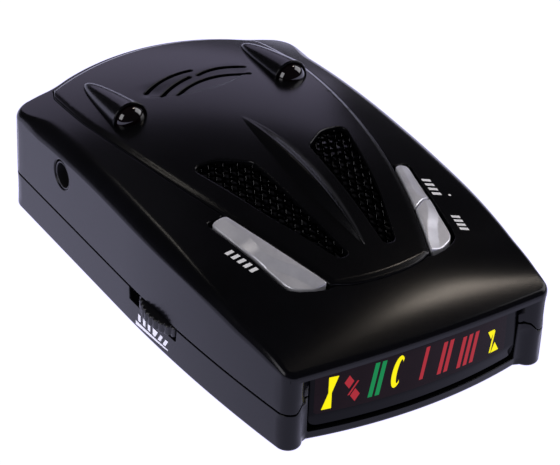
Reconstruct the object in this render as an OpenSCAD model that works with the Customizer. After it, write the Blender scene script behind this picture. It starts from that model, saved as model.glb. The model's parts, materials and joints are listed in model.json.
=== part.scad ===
// Dashboard radar detector: two-part case, raised hood panel with two alert periscopes,
// display at the driver's end (-Y) and horn antenna at the road end (+Y).
// Millimetres. Origin: on the resting plane under the middle of the case. +X right, +Z up.

/* [Case] */
// Overall width across the side walls
case_w = 69; // [64:1:84]
// Overall length, display end to road end
case_l = 110.8; // [104:0.4:134]
// Height of the roof at its highest line
case_top = 30; // [29:0.5:36]
// Thickness of the moulded walls
wall = 2; // [1.6:0.1:2.4]
// Height of the joint between the two case halves
split_z = 8.6; // [8.2:0.1:9.4]
// Radius of the road end in plan
back_radius = 80; // [66:1:100]
// Radius of the side walls where they taper to the display end
side_radius = 350; // [300:10:500]
// Radius of the two road-end corners
back_corner_r = 4.5; // [3.5:0.5:7]
// Radius of the two corner posts beside the display
post_r = 2.7; // [2.2:0.1:3.2]

/* [Roof] */
// Fall of the roof's middle line from its highest point to the brow
roof_fall = 7.5; // [5:0.25:10]
// Fall of the roof from its middle line to the side walls
crown_fall = 3.16; // [2.4:0.04:5]
// Radius of the brow that rolls down over the display
brow_radius = 150; // [110:10:200]
// Distance from the display end to where the brow starts
brow_depth = 13.4; // [11:0.2:16]
// Height of the rounded shoulders' own crown above the roof's highest line
shoulder_rise = 4.5; // [3.5:0.25:7]
// Fall of the shoulders from their crown to the side walls
shoulder_fall = 10.9; // [9:0.1:14]
// Fall of the shoulders' crown from the middle to the display end
shoulder_end_fall = 5.4; // [4:0.2:8]

/* [Hood panel] */
// Thickness of the panel
panel_t = 2; // [1.6:0.1:2.4]
// Height of the panel above the roof around it
panel_rise = 0.5; // [0.2:0.1:1]
// Half-width of the panel at its widest
panel_half_w = 27; // [25:0.5:28]
// Height of the spine above the panel
spine_h = 1.9; // [1:0.1:3]
// Width of the ledge that the panel sits on
ledge_w = 2.2; // [1.6:0.2:3]

/* [Periscopes] */
// Radius of a periscope at its open end
pod_r = 4.1; // [3.6:0.1:4.6]
// Length of a periscope
pod_l = 20; // [16:1:22]
// Distance of a periscope from the centre line
pod_x = 19.5; // [18.5:0.5:20.5]
// Thickness of a periscope's shell at its open end
pod_wall = 0.6; // [0.5:0.1:0.8]

/* [Display] */
// Half-width of the display window
window_half_w = 24; // [22:0.5:24.5]
// Height of the window's lower edge
window_low = 3.3; // [3:0.1:4.5]
// Height of the window's upper edge
window_high = 16.6; // [15:0.1:17]
// Radius of the bowed display face in plan
face_radius = 112; // [90:2:160]
// Thickness of the window
window_t = 2.2; // [1.6:0.1:2.6]

/* [Controls] */
// Height of a button above the roof
button_rise = 0.7; // [0.3:0.1:1]
// How far a button travels when pressed
button_travel = 0.6; // [0.3:0.1:0.8]
// Radius of the thumbwheel
wheel_r = 11; // [9:0.5:12]
// Thickness of the thumbwheel
wheel_t = 2.4; // [1.8:0.1:2.8]
// How far the thumbwheel stands out of the side wall
wheel_proud = 1.9; // [1:0.1:2.4]
// Distance of the thumbwheel's axle in front of the middle
wheel_back = 12.8; // [10:0.2:15]
// Number of teeth on the thumbwheel's rim
wheel_teeth = 44; // [30:1:60]
// Radius of the thumbwheel's shaft
shaft_r = 1.5; // [1.2:0.1:2]

/* [Power socket] */
// Radius of the socket's bore
socket_r = 2.85; // [2.4:0.05:3.2]
// Depth of the socket's bore
socket_depth = 8.4; // [7:0.1:9]
// Distance of the socket behind the middle of the case
socket_y = 25.7; // [22:0.2:28]

/* [Boards] */
// Height of the main board's underside
board_z = 12.4; // [12.2:0.1:13]
// Thickness of the main board
board_t = 1.6; // [1.2:0.1:1.8]
// Outer radius of the speaker
speaker_r = 10; // [8:0.5:11]
// Height of the speaker
speaker_h = 3.5; // [3:0.1:4]
// Diameter of the case screws
screw_d = 2.6; // [2.2:0.1:3]

/* [Fits] */
// Gap around a moving button
button_gap = 0.36; // [0.3:0.02:0.5]
// Gap around a part that is set into a shell
seat_gap = 0.1; // [0.05:0.05:0.15]
// Radial clearance of the shaft in its bush
shaft_gap = 0.05; // [0.03:0.01:0.1]

/* [Hidden] */

tall = 60;              // taller than the case, for cuts
half_w = case_w / 2;
front_y = -case_l / 2;  // foremost point of the display face
back_y = case_l / 2;
board_top = board_z + board_t;

// ---- outlines: lists of points, anticlockwise ----

function unit(v) = v / norm(v);
function outward(a, b) = let (d = unit(b - a)) [d[1], -d[0]];
function corner(p, q, r, m) =
    let (n1 = outward(p, q), n2 = outward(q, r)) q + (n1 + n2) * m / (1 + n1 * n2);
// moves an outline outward by m, or inward where m is negative
function grow(pts, m) = let (n = len(pts))
    [for (i = [0:n - 1]) corner(pts[(i + n - 1) % n], pts[i], pts[(i + 1) % n], m)];
function mirrored(pts) = [for (i = [len(pts) - 1:-1:0]) [-pts[i][0], pts[i][1]]];
function arc(cx, cy, r, a0, a1, steps) =
    [for (i = [0:steps]) let (a = a0 + (a1 - a0) * i / steps) [cx + r * cos(a), cy + r * sin(a)]];

// case outline without the display face: straight sides at the back, tapering arcs to the front
front_setback = 2.5;
base_front_y = front_y + front_setback;
side_cx = half_w - side_radius;
back_cy = back_y - back_radius;
fillet_x = half_w - back_corner_r;
fillet_y = back_cy + sqrt(pow(back_radius - back_corner_r, 2) - pow(fillet_x, 2));
fillet_a = atan2(fillet_y - back_cy, fillet_x);
front_side_a = asin(base_front_y / side_radius);
case_right = concat(
    arc(side_cx, 0, side_radius, front_side_a, 0, 12),
    arc(fillet_x, fillet_y, back_corner_r, 0, fillet_a, 6),
    arc(0, back_cy, back_radius, fillet_a + 3, 87, 8));
case_outline = concat(case_right, mirrored(case_right));
cavity_outline = grow(case_outline, -wall);

// hood panel: a shield, widest near the periscopes and closing towards the display
panel_wide_y = back_y - 25;
panel_front_y = front_y + 15.4;
panel_rim = wall + 0.3;
function panel_half(y) = let (d = panel_wide_y - y)
    d > 0 ? panel_half_w - 0.06 * d - 0.00235 * d * d : panel_half_w - 0.003 * d * d;
panel_back_a = acos(panel_half(back_y - 9) / (back_radius - panel_rim));
panel_tip = 1.4; // bow of the panel's front edge
panel_right = concat(
    [[5, panel_front_y - panel_tip * 0.8]],
    [for (i = [0:10]) let (y = panel_front_y + i * (back_y - 10 - panel_front_y) / 10)
        [panel_half(y), y]],
    arc(0, back_cy, back_radius - panel_rim, panel_back_a, 87, 7));
panel_outline = concat([[0, panel_front_y - panel_tip]], panel_right, mirrored(panel_right));

// buttons lie along the panel's edge near the display
button_back_y = panel_front_y + 25;
button_front_y = panel_front_y + 0.8;
button_split_y = panel_front_y + 12.6;
function button_inner(y) = [panel_half(y) + button_gap, y];
button_outer = [
    [19.4, button_front_y + 2.6], [20.4, button_front_y + 5.4], [21.5, button_split_y],
    [22.6, button_back_y - 2.2], [23.1, button_back_y + 0.2]];
button_outline = concat(
    [button_inner(button_front_y), [14.4, button_front_y + 0.5], [17.6, button_front_y + 1.4]],
    button_outer,
    [for (i = [0:3]) button_inner(button_back_y - i * 6)]);

// grille pockets either side of the spine
grille_outline = [
    [6.7, -3], [6.2, -10], [5.6, -18], [4.9, -25], [4.1, -33], [4.9, -34.6], [6.6, -34],
    [8.3, -31], [10.9, -24.5], [12.9, -18.5], [14.5, -13.5], [16.3, -8], [17.5, -3], [18, 1],
    [17, 2.2], [12, 0.8], [8, -0.6]];

// ---- roof surfaces ----

// radius of an arc that falls by fall over a run from its highest point
function radius_of(run, fall) = (run * run + fall * fall) / (2 * fall);

roof_peak_y = 15;
shoulder_peak_y = 10;
brow_start_y = front_y + brow_depth;
roof_radius = radius_of(roof_peak_y - brow_start_y, roof_fall);
crown_radius = radius_of(half_w, crown_fall);
shoulder_r = radius_of(half_w, shoulder_fall);
shoulder_length_r = radius_of(shoulder_peak_y - front_y, shoulder_end_fall);
roof_a = asin((roof_peak_y - brow_start_y) / roof_radius);
brow_a = roof_a + 3; // the brow starts a little steeper than the roof
brow_start_z = case_top - roof_radius * (1 - cos(roof_a));

// solid of revolution about a line along X, with a crowned rim; depth shrinks it evenly
module barrel(radius, crown, cy, cz, depth) {
    translate([0, cy, cz]) rotate([0, 90, 0]) rotate_extrude($fn = 180)
        intersection() {
            translate([radius - crown, 0]) circle(r = crown - depth, $fn = 180);
            translate([0, -case_w]) square([radius + crown, 2 * case_w]);
        }
}

// everything below the roof, moved inward by depth
module under_roof(depth) {
    intersection() {
        barrel(roof_radius, crown_radius, roof_peak_y, case_top - roof_radius, depth);
        union() {
            barrel(brow_radius, crown_radius, brow_start_y + brow_radius * sin(brow_a),
                brow_start_z - brow_radius * cos(brow_a), depth);
            translate([-case_w, brow_start_y + 8, -tall]) cube([2 * case_w, 2 * case_l, 2 * tall]);
        }
    }
}

// the case's roof with its rounded shoulders, which lie outside the hood panel and buttons
module under_shell(depth) {
    intersection() {
        under_roof(depth);
        barrel(shoulder_length_r, shoulder_r, shoulder_peak_y,
            case_top + shoulder_rise - shoulder_length_r, depth);
    }
}

// an outline as a skin that follows the roof between two depths
module roof_skin(outline, top_depth, low_depth) {
    difference() {
        intersection() {
            linear_extrude(height = tall) polygon(outline);
            under_roof(top_depth);
        }
        under_roof(low_depth);
    }
}

module column(outline, z0, z1) {
    translate([0, 0, z0]) linear_extrude(height = z1 - z0) polygon(outline);
}

function roof_z(x, y) =
    case_top - roof_radius + sqrt(pow(roof_radius, 2) - pow(y - roof_peak_y, 2))
    - crown_radius + sqrt(pow(crown_radius, 2) - x * x);

module box(x0, x1, y0, y1, z0, z1) {
    translate([x0, y0, z0]) cube([x1 - x0, y1 - y0, z1 - z0]);
}

module rod(x, y, z0, z1, r) {
    translate([x, y, z0]) cylinder(r = r, h = z1 - z0, $fn = 48);
}

module both_sides() {
    children();
    mirror([1, 0, 0]) children();
}

// ---- display face ----

post_x = half_w - 6.3;
post_y = front_y + 3.6;
face_edge_y = front_y + face_radius - sqrt(pow(face_radius, 2) - pow(window_half_w, 2));

// plan of the bowed face between the posts, back to a straight line
module face_plan(half, back) {
    intersection() {
        translate([0, front_y + face_radius]) circle(r = face_radius, $fn = 180);
        translate([-half, front_y - 1]) square([2 * half, back - front_y + 1]);
    }
}

module front_plan() {
    face_plan(window_half_w + 0.2, base_front_y + wall);
    both_sides() translate([post_x, post_y]) circle(r = post_r, $fn = 48);
    both_sides() translate([post_x - post_r, post_y])
        square([2 * post_r, base_front_y + wall - post_y]);
}

// plan of the brow, flush from post to post
module brow_plan() {
    brow_bow = 0.9;
    reach = post_x + post_r * 0.6;
    bow_radius = (reach * reach + brow_bow * brow_bow) / (2 * brow_bow);
    intersection() {
        translate([0, front_y + bow_radius]) circle(r = bow_radius, $fn = 360);
        translate([-reach, front_y - 1]) square([2 * reach, front_setback + wall + 1]);
    }
    both_sides() translate([post_x, post_y]) circle(r = post_r, $fn = 48);
}

// ---- screws ----

screw_spots = [
    [half_w - 8, front_y + 15.4], [half_w - 7, back_y - 17],
    [7 - half_w, back_y - 17], [8 - half_w, front_y + 15.4]];
boss_r = 3.2;
screw_head_z = 4.6;
screw_head_h = 1.5;
screw_tip_z = 18.5;
boss_top = 20;

module at_screws() {
    for (spot = screw_spots) translate([spot[0], spot[1], 0]) children();
}

// ---- case ----

slot_gap_z = 0.3;
wheel_z = split_z - wheel_t - slot_gap_z;
wall_at_wheel = side_cx + sqrt(pow(side_radius, 2) - pow(wheel_back, 2));
wheel_x = -wall_at_wheel - wheel_proud + wheel_r;
wheel_slot_half = sqrt(pow(wheel_r, 2) - pow(wheel_r - wheel_proud - wall, 2)) + 0.75;
socket_z = board_top + 4.8;
tongue_half_w = 11;
tongue_h = 2.6;
tongue_z = wall + 0.9;

module lower_case() {
    color("#1b1a1f")
    difference() {
        union() {
            difference() {
                union() {
                    column(case_outline, 0, split_z);
                    linear_extrude(height = split_z) front_plan();
                }
                column(cavity_outline, wall, split_z + 1);
            }
            at_screws() cylinder(r = boss_r, h = board_z, $fn = 48);
            // roof of the channel that the windscreen bracket's tongue slides into
            box(-tongue_half_w - 2, tongue_half_w + 2, back_y - 15, back_y - 3,
                tongue_z + tongue_h, tongue_z + tongue_h + 1);
            both_sides() box(tongue_half_w, tongue_half_w + 2, back_y - 15, back_y - 4,
                wall, tongue_z + tongue_h + 1);
        }
        // notch for the display window
        box(-window_half_w - 0.2, window_half_w + 0.2, front_y - 1, base_front_y + wall + 0.2,
            window_low - seat_gap, split_z + 1);
        // slot for the thumbwheel
        box(-half_w - 1, -half_w + wall + 3, -wheel_back - wheel_slot_half,
            -wheel_back + wheel_slot_half, wheel_z - slot_gap_z, split_z + 1);
        // slot for the bracket's tongue
        box(-tongue_half_w, tongue_half_w, back_y - 15, back_y + 1, tongue_z, tongue_z + tongue_h);
        at_screws() {
            translate([0, 0, -1]) cylinder(r = screw_d + 0.3, h = screw_head_z + screw_head_h + 1,
                $fn = 48);
            cylinder(r = screw_d / 2 + 0.2, h = tall, $fn = 48);
        }
    }
}

module button_cut(outline) {
    column(grow(outline, button_gap), board_top, tall);
}

lens_half_w = 5;
laser_z = case_top - 7.4;
laser_half_h = 1.8;

module upper_case() {
    color("#141318")
    difference() {
        union() {
            difference() {
                intersection() {
                    union() {
                        column(case_outline, split_z, tall);
                        translate([0, 0, split_z]) linear_extrude(height = tall) front_plan();
                        translate([0, 0, window_high]) linear_extrude(height = tall) brow_plan();
                    }
                    under_shell(0);
                }
                intersection() {
                    column(cavity_outline, 0, tall);
                    under_shell(wall);
                }
            }
            // ledge under the hood panel's edge
            difference() {
                roof_skin(grow(panel_outline, wall), panel_t, panel_t + 1.6);
                column(grow(panel_outline, -ledge_w), 0, tall);
                both_sides() column(grow(button_outline, flange_w * 2), 0, tall);
            }
            intersection() {
                at_screws() translate([0, 0, board_top])
                    cylinder(r = boss_r, h = tall, $fn = 48);
                under_shell(wall / 2);
            }
        }
        // seat of the hood panel
        difference() {
            column(grow(panel_outline, seat_gap), board_top, tall);
            under_roof(panel_t + 0.02);
        }
        button_cut(button_outline);
        button_cut(mirrored(button_outline));
        // display opening
        box(-window_half_w - 0.2, window_half_w + 0.2, front_y - 1, base_front_y + wall + 0.2,
            0, window_high + seat_gap);
        // hole over the power socket
        translate([-half_w - 1, socket_y, socket_z]) rotate([0, 90, 0])
            cylinder(r = socket_r + 0.45, h = wall + 2, $fn = 48);
        // laser lens in the road end
        box(-lens_half_w - seat_gap, lens_half_w + seat_gap, back_y - wall - 1, back_y + 1,
            laser_z - laser_half_h - seat_gap, laser_z + laser_half_h + seat_gap);
        at_screws() cylinder(r = screw_d / 2, h = boss_top, $fn = 48);
    }
}

// ---- periscopes ----

pod_tail_y = back_y - 11.4;
pod_tilt = 4;
pod_tail_z = case_top - 2.8;

// places children with +Z running forward along a periscope from its tail
module pod_axis() {
    translate([0, pod_tail_y, pod_tail_z]) rotate([90 - pod_tilt, 0, 0]) children();
}

module at_pods() {
    both_sides() translate([pod_x, 0, 0]) pod_axis() children();
}

module pod_shell() {
    steps = 16;
    rotate_extrude($fn = 72)
        polygon(concat([[0, 0]], [for (i = [1:steps]) let (s = pow(i / steps, 1.6))
            [pod_r * sqrt(s), s * pod_l]], [[0, pod_l]]));
}

pod_bore_r = pod_r - pod_wall;
pod_bore_from = pod_l - 6;
lens_l = 4.2; // length of the lens behind its domed face

module pod_bore() {
    translate([0, 0, pod_bore_from]) cylinder(r = pod_bore_r, h = lens_l + seat_gap, $fn = 72);
}

lens_r = pod_bore_r - seat_gap;
stem_r = 1.5;
stem_y = pod_tail_y - pod_bore_from - 1.8;
led_h = 3.2;

// clear lens with a domed face, on a stem that brings the light up from the board
module periscope_lens(side) {
    translate([side * pod_x, 0, 0]) pod_axis() translate([0, 0, pod_bore_from + seat_gap])
        cylinder(r = lens_r, h = lens_l - seat_gap, $fn = 72);
    difference() {
        translate([side * pod_x, 0, 0]) pod_axis() intersection() {
            translate([0, 0, pod_bore_from + 2.9]) sphere(r = lens_r + 0.7, $fn = 72);
            translate([0, 0, pod_bore_from + 2]) cylinder(r = lens_r, h = 9, $fn = 72);
        }
        under_roof(-panel_rise - seat_gap);
    }
    rod(side * pod_x, stem_y, board_top + led_h + 0.4, pod_tail_z, stem_r);
}

module periscope_lens_left() { color("#2a0e14") periscope_lens(-1); }
module periscope_lens_right() { color("#2a0e14") periscope_lens(1); }
module periscope_led() {
    rod(0, stem_y, board_top, board_top + led_h - 1.2, 1.5);
    translate([0, stem_y, board_top + led_h - 1.5]) sphere(r = 1.5, $fn = 48);
}
module periscope_led_left() {
    color("#c8303a") translate([-pod_x, 0, 0]) periscope_led();
}
module periscope_led_right() {
    color("#c8303a") translate([pod_x, 0, 0]) periscope_led();
}

// ---- hood panel ----

spine_back_y = back_y - 43.1;
spine_front_y = front_y + 22.1;
spine_half_w = 1.5;
grille_lip = 0.8;
grille_t = 0.8;
speaker_y = back_y - 14.4 - speaker_r; // clear of the laser sensor
speaker_top = case_top - 5;
gasket_t = 0.6;
ring_wall = 1.4;

// curved sound slots: centre x, centre y relative to the speaker, radius, start and end angle
slot_w = 1;
slots = [[0, -14.5, 19, 86, 128], [6.5, -10.5, 13.3, 62, 111],
    [4, -19, 21.3, 102, 130], [4, -17.8, 17.3, 63, 128]];

module sound_slots() {
    for (s = slots)
        column(concat(arc(s[0], speaker_y + s[1], s[2] + slot_w / 2, s[3], s[4], 12),
            arc(s[0], speaker_y + s[1], s[2] - slot_w / 2, s[4], s[3], 12)), speaker_top, tall);
}

spine_mid_y = (spine_back_y + spine_front_y) / 2;
spine_reach = (spine_back_y - spine_front_y) / 2;
spine_back_z = roof_z(0, spine_back_y);
spine_front_z = roof_z(0, spine_front_y);
spine_pitch = atan2(spine_back_z - spine_front_z, 2 * spine_reach);
spine_chord = spine_reach / cos(spine_pitch);
spine_chord_z = (spine_back_z + spine_front_z) / 2;
crest_bow = roof_z(0, spine_mid_y) + panel_rise + spine_h - spine_chord_z;
crest_radius = (pow(spine_chord, 2) + pow(crest_bow, 2)) / (2 * crest_bow);
spine_side_radius = (pow(spine_reach, 2) + pow(spine_half_w, 2)) / (2 * spine_half_w);

// disc about a line along X
module disc(y, z, r) {
    translate([-case_w / 2, y, z]) rotate([0, 90, 0]) cylinder(r = r, h = case_w, $fn = 180);
}

// a ridge pointed at both ends, whose crest is an arc that leaves the roof and comes back to it
module spine() {
    difference() {
        intersection() {
            disc(spine_mid_y + (crest_radius - crest_bow) * sin(spine_pitch),
                spine_chord_z - (crest_radius - crest_bow) * cos(spine_pitch), crest_radius);
            linear_extrude(height = tall) intersection_for(side = [-1, 1])
                translate([side * (spine_side_radius - spine_half_w), spine_mid_y])
                    circle(r = spine_side_radius, $fn = 180);
        }
        disc(roof_peak_y, case_top - roof_radius, roof_radius - panel_t / 2);
    }
}

module hood_panel() {
    color("#17161b")
    difference() {
        union() {
            roof_skin(panel_outline, -panel_rise, panel_t);
            spine();
            difference() {
                at_pods() pod_shell();
                under_roof(panel_t / 2);
            }
            // ring that holds the speaker
            difference() {
                rod(0, speaker_y, speaker_top - speaker_h + 0.6, case_top - panel_t * 0.8,
                    speaker_r + seat_gap + ring_wall);
                rod(0, speaker_y, 0, speaker_top + gasket_t, speaker_r + seat_gap);
                rod(0, speaker_y, 0, tall, speaker_r - 1.4);
            }
        }
        at_pods() pod_bore();
        // the periscopes' shells stay hollow in front of their lenses
        difference() {
            at_pods() translate([0, 0, pod_bore_from + 1])
                cylinder(r = pod_bore_r, h = pod_l, $fn = 72);
            under_roof(-panel_rise - seat_gap / 2);
        }
        both_sides() rod(pod_x, stem_y, 0, pod_tail_z, stem_r + seat_gap);
        both_sides() {
            column(grille_outline, board_top, tall);
            intersection() {
                column(grow(grille_outline, grille_lip), board_top, tall);
                under_roof(panel_t - grille_t);
            }
        }
        sound_slots();
    }
}

module grille() {
    roof_skin(grow(grille_outline, grille_lip - seat_gap), panel_t - grille_t, panel_t);
}
module grille_left() {
    color("#3a3a40") mirror([1, 0, 0]) grille();
}
module grille_right() {
    color("#3a3a40") grille();
}

module speaker_gasket() {
    color("#303030") difference() {
        rod(0, speaker_y, speaker_top, speaker_top + gasket_t, speaker_r);
        rod(0, speaker_y, 0, tall, speaker_r - 1.4);
    }
}
module speaker_frame() {
    color("#8d8f94") difference() {
        rod(0, speaker_y, speaker_top - speaker_h, speaker_top, speaker_r);
        rod(0, speaker_y, speaker_top - speaker_h + 0.8, tall, speaker_r - 0.8);
        rod(0, speaker_y, 0, tall, 4);
    }
}
module speaker_cone() {
    color("#202226") translate([0, speaker_y, speaker_top - 1.9]) rotate_extrude($fn = 72)
        polygon([[0, 0], [3, 0], [speaker_r - 0.8, 1.3], [speaker_r - 0.8, 1.6], [3, 0.3],
            [2, 0.9], [0, 1.1]]);
}
module speaker_magnet() {
    color("#6d7075") rod(0, speaker_y, speaker_top - speaker_h - 0.5, speaker_top - 2.1, 4);
}

// ---- display ----

mask_front_y = base_front_y + wall + window_t - 1.2;
display_board_y = front_y + 9.8;
display_board_t = 1.2;
cells = 8;
cell_pitch = 2 * (window_half_w - 2.8) / cells;
cell_w = cell_pitch - 1.1;
symbol_mid_z = (window_low + window_high) / 2 + 0.2;
symbol_h = 8.4;

function cell_x(i) = (i - (cells - 1) / 2) * cell_pitch - 1.4;

module display_window() {
    flange_y = base_front_y + wall + 0.2;
    color("#221f1f") union() {
        translate([0, 0, window_low]) linear_extrude(height = window_high - window_low)
            face_plan(window_half_w, flange_y);
        box(-window_half_w - 1.6, window_half_w + 1.6, flange_y, flange_y + 1,
            wall + seat_gap, window_high - 1.8);
    }
}
module display_mask() {
    color("#e6e4de") difference() {
        box(-window_half_w, window_half_w, mask_front_y + 0.3, display_board_y,
            window_low + 0.3, window_high - 1.2);
        for (i = [0:cells - 1]) translate([cell_x(i) - cell_w / 2, 0, 0])
            box(0, cell_w, mask_front_y - 1, display_board_y + 1,
                symbol_mid_z - symbol_h / 2, symbol_mid_z + symbol_h / 2);
    }
}
module display_leds() {
    color("#f4ecd0") for (i = [0:cells - 1]) translate([cell_x(i), 0, 0])
        box(-1.5, 1.5, display_board_y - 0.9, display_board_y,
            symbol_mid_z - 1.2, symbol_mid_z + 1.2);
}
module display_board() {
    color("#1d5b38") box(-window_half_w, window_half_w, display_board_y,
        display_board_y + display_board_t, wall + 1.2, window_high);
}
module display_header() {
    color("#222222") box(-12, 12, display_board_y + display_board_t,
        display_board_y + display_board_t + 3, board_top, window_high);
}

// ---- buttons ----

flange_t = 0.8;
flange_w = 0.8;
switch_h = 3.5;
switch_half = 3;
plunger_r = 1.7;
plunger_top = board_top + switch_h + 1;
quiet_spot = [-18.2, front_y + 28.4];
menu_spot = [20.1, front_y + 33.9];
city_spot = [17.0, front_y + 22.6];

module button(outline, spot) {
    flange_top = wall + button_gap;
    roof_skin(outline, -button_rise, flange_top + flange_t / 2);
    roof_skin(grow(outline, flange_w), flange_top, flange_top + flange_t);
    intersection() {
        rod(spot[0], spot[1], plunger_top, tall, 1.6);
        under_roof(wall / 2);
    }
}
// the menu button ends and the city button starts at a curved gap
module split_line(side) {
    shift = side * button_gap / 2;
    column(concat([[5, side * 40 + button_split_y], [5, button_split_y - 1.6 + shift]],
        [[15, button_split_y - 1.6 + shift], [18, button_split_y + shift],
        [21, button_split_y + 0.7 + shift], [30, button_split_y + 1.1 + shift]],
        [[30, side * 40 + button_split_y]]), 0, tall);
}

module quiet_button() {
    color("#c9c9cd") button(mirrored(button_outline), quiet_spot);
}
module menu_button() {
    color("#c9c9cd") intersection() {
        button(button_outline, menu_spot);
        split_line(1);
    }
}
module city_button() {
    color("#c9c9cd") intersection() {
        button(button_outline, city_spot);
        split_line(-1);
    }
}

module switch_body(spot) {
    color("#2b2b2e") translate([spot[0], spot[1], board_top]) difference() {
        translate([-switch_half, -switch_half, 0])
            cube([2 * switch_half, 2 * switch_half, switch_h]);
        translate([0, 0, switch_h - 1 - button_travel - seat_gap])
            cylinder(r = plunger_r + 0.1, h = switch_h, $fn = 48);
    }
}
module plunger(spot) {
    color("#d8d4c8") rod(spot[0], spot[1], plunger_top - 2, plunger_top, plunger_r);
}
module quiet_switch() { switch_body(quiet_spot); }
module menu_switch() { switch_body(menu_spot); }
module city_switch() { switch_body(city_spot); }
module quiet_plunger() { plunger(quiet_spot); }
module menu_plunger() { plunger(menu_spot); }
module city_plunger() { plunger(city_spot); }

// ---- volume thumbwheel ----

pot_low = split_z + 0.4;

module volume_wheel() {
    tooth_a = 360 / wheel_teeth;
    color("#26262a") translate([wheel_x, -wheel_back, wheel_z]) difference() {
        cylinder(r = wheel_r, h = wheel_t, $fn = 144);
        for (i = [0:wheel_teeth - 1]) rotate([0, 0, i * tooth_a]) translate([wheel_r + 0.15, 0, -1])
            cylinder(r = 0.45, h = wheel_t + 2, $fn = 16);
        translate([0, 0, -1]) cylinder(r = shaft_r, h = wheel_t + 2, $fn = 48);
    }
}
module wheel_shaft() {
    color("#b9bcc0") rod(wheel_x, -wheel_back, wheel_z, board_z - 0.6, shaft_r);
}
module volume_pot() {
    half = 4.6;
    color("#3b4a3f") difference() {
        box(wheel_x - half, wheel_x + half, -wheel_back - half, -wheel_back + half,
            pot_low, board_z);
        rod(wheel_x, -wheel_back, 0, board_z - 0.3, shaft_r + shaft_gap);
    }
}

// ---- power socket ----

socket_front = -half_w + wall + 0.1;
jack_l = socket_depth + 2;
jack_half_w = 4.8;
jack_top = socket_z + 3.3;
contact_r = 1;
contact_h = 1.2; // height of the sprung contact set into the bottom of the bore

module power_jack() {
    color("#101012") difference() {
        box(socket_front, socket_front + jack_l, socket_y - jack_half_w, socket_y + jack_half_w,
            board_top, jack_top);
        translate([socket_front - 1, socket_y, socket_z]) rotate([0, 90, 0])
            cylinder(r = socket_r, h = socket_depth + 1, $fn = 48);
        translate([socket_front, socket_y, socket_z]) rotate([0, 90, 0])
            cylinder(r = contact_r + seat_gap / 2, h = socket_depth + contact_h, $fn = 32);
    }
}
module jack_contact() {
    color("#c9cbd0") translate([socket_front + socket_depth + seat_gap / 2, socket_y, socket_z])
        rotate([0, 90, 0]) cylinder(r = contact_r, h = contact_h - seat_gap / 2, $fn = 32);
}

// ---- main board and what it carries ----

board_half_w = half_w - wall - 2.2;
arm_inner = pod_x - 2;
board_front_y = front_y + 12.2;
notch_y = back_y - 46.4;

module main_board() {
    color("#1f6b40") difference() {
        intersection() {
            box(-board_half_w, board_half_w, board_front_y, back_y - 12.4, board_z, board_top);
            column(grow(cavity_outline, -0.6), 0, tall);
        }
        box(-arm_inner, arm_inner, notch_y, back_y, board_z - 1, board_top + 1);
        at_screws() cylinder(r = screw_d / 2 + 0.2, h = tall, $fn = 48);
    }
}

horn_z = 13.8;
horn_mouth_y = back_y - 6.6;
horn_top = speaker_top - speaker_h - 1;
horn_half_w = arm_inner - 0.6;

module horn_flare(throat_half_w, throat_half_h, mouth_half_w, mouth_half_h, y0, y1) {
    hull() {
        box(-throat_half_w, throat_half_w, y0, y0 + 0.1,
            horn_z - throat_half_h, horn_z + throat_half_h);
        box(-mouth_half_w, mouth_half_w, y1 - 0.1, y1,
            horn_z - mouth_half_h, horn_z + mouth_half_h);
    }
}
module horn_antenna() {
    mouth_half_h = horn_top - horn_z;
    color("#a7a9ad") difference() {
        union() {
            horn_flare(8, 4.4, horn_half_w, mouth_half_h, notch_y + 4, horn_mouth_y);
            box(-8, 8, notch_y + 0.2, notch_y + 4.1, horn_z - 4.4, horn_z + 4.4);
            box(-14, 14, notch_y - 5, notch_y + 3, board_top, horn_z + 4.4);
            box(-4, 4, horn_mouth_y - 6, horn_mouth_y, horn_z + 4, horn_top);
        }
        horn_flare(6.6, 3, horn_half_w - 1.2, mouth_half_h - 1.2, notch_y + 5, horn_mouth_y + 0.1);
    }
}
module laser_sensor() {
    color("#1c1c20") union() {
        box(-3, 3, horn_mouth_y - 5, horn_mouth_y - 2.5, horn_top, horn_top + 3.6);
        translate([0, horn_mouth_y - 2.5, laser_z]) sphere(r = 1.3, $fn = 48);
    }
}
module laser_lens() {
    color("#3a1216") intersection() {
        box(-lens_half_w, lens_half_w, back_y - wall - 0.6, back_y + 1,
            laser_z - laser_half_h, laser_z + laser_half_h);
        column(case_outline, 0, tall);
    }
}

mixer_y = notch_y - 12;
mixer_half_w = 12;
mixer_half_l = 5.6;

module mixer_board() {
    color("#e9e5d8") box(-mixer_half_w + 0.8, mixer_half_w - 0.8, mixer_y - mixer_half_l + 0.8,
        mixer_y + mixer_half_l - 0.8, board_top, board_top + 0.8);
}
module shield_can() {
    can_h = 5.2;
    can_t = 0.4;
    color("#b5b7ba") difference() {
        box(-mixer_half_w, mixer_half_w, mixer_y - mixer_half_l, mixer_y + mixer_half_l,
            board_top, board_top + can_h);
        box(-mixer_half_w + can_t, mixer_half_w - can_t, mixer_y - mixer_half_l + can_t,
            mixer_y + mixer_half_l - can_t, board_top - 1, board_top + can_h - can_t);
    }
}
// controller, audio amplifier, memory and regulator
chip_sizes = [[7, -24, 5, 5], [-5, -22, 3, 2.5], [-6, -30, 2.5, 2], [6, -34.5, 3.2, 2]];
module chips() {
    color("#18181a") for (c = chip_sizes)
        box(c[0] - c[2], c[0] + c[2], c[1] - c[3], c[1] + c[3], board_top, board_top + 1.4);
}
capacitor_spots = [[-10, -36], [-12, -16.5], [26.5, -6], [-27, 4], [27, 10]];
module capacitors() {
    color("#2a3550") for (spot = capacitor_spots) rod(spot[0], spot[1], board_top, board_top + 5.4, 2);
}

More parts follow.
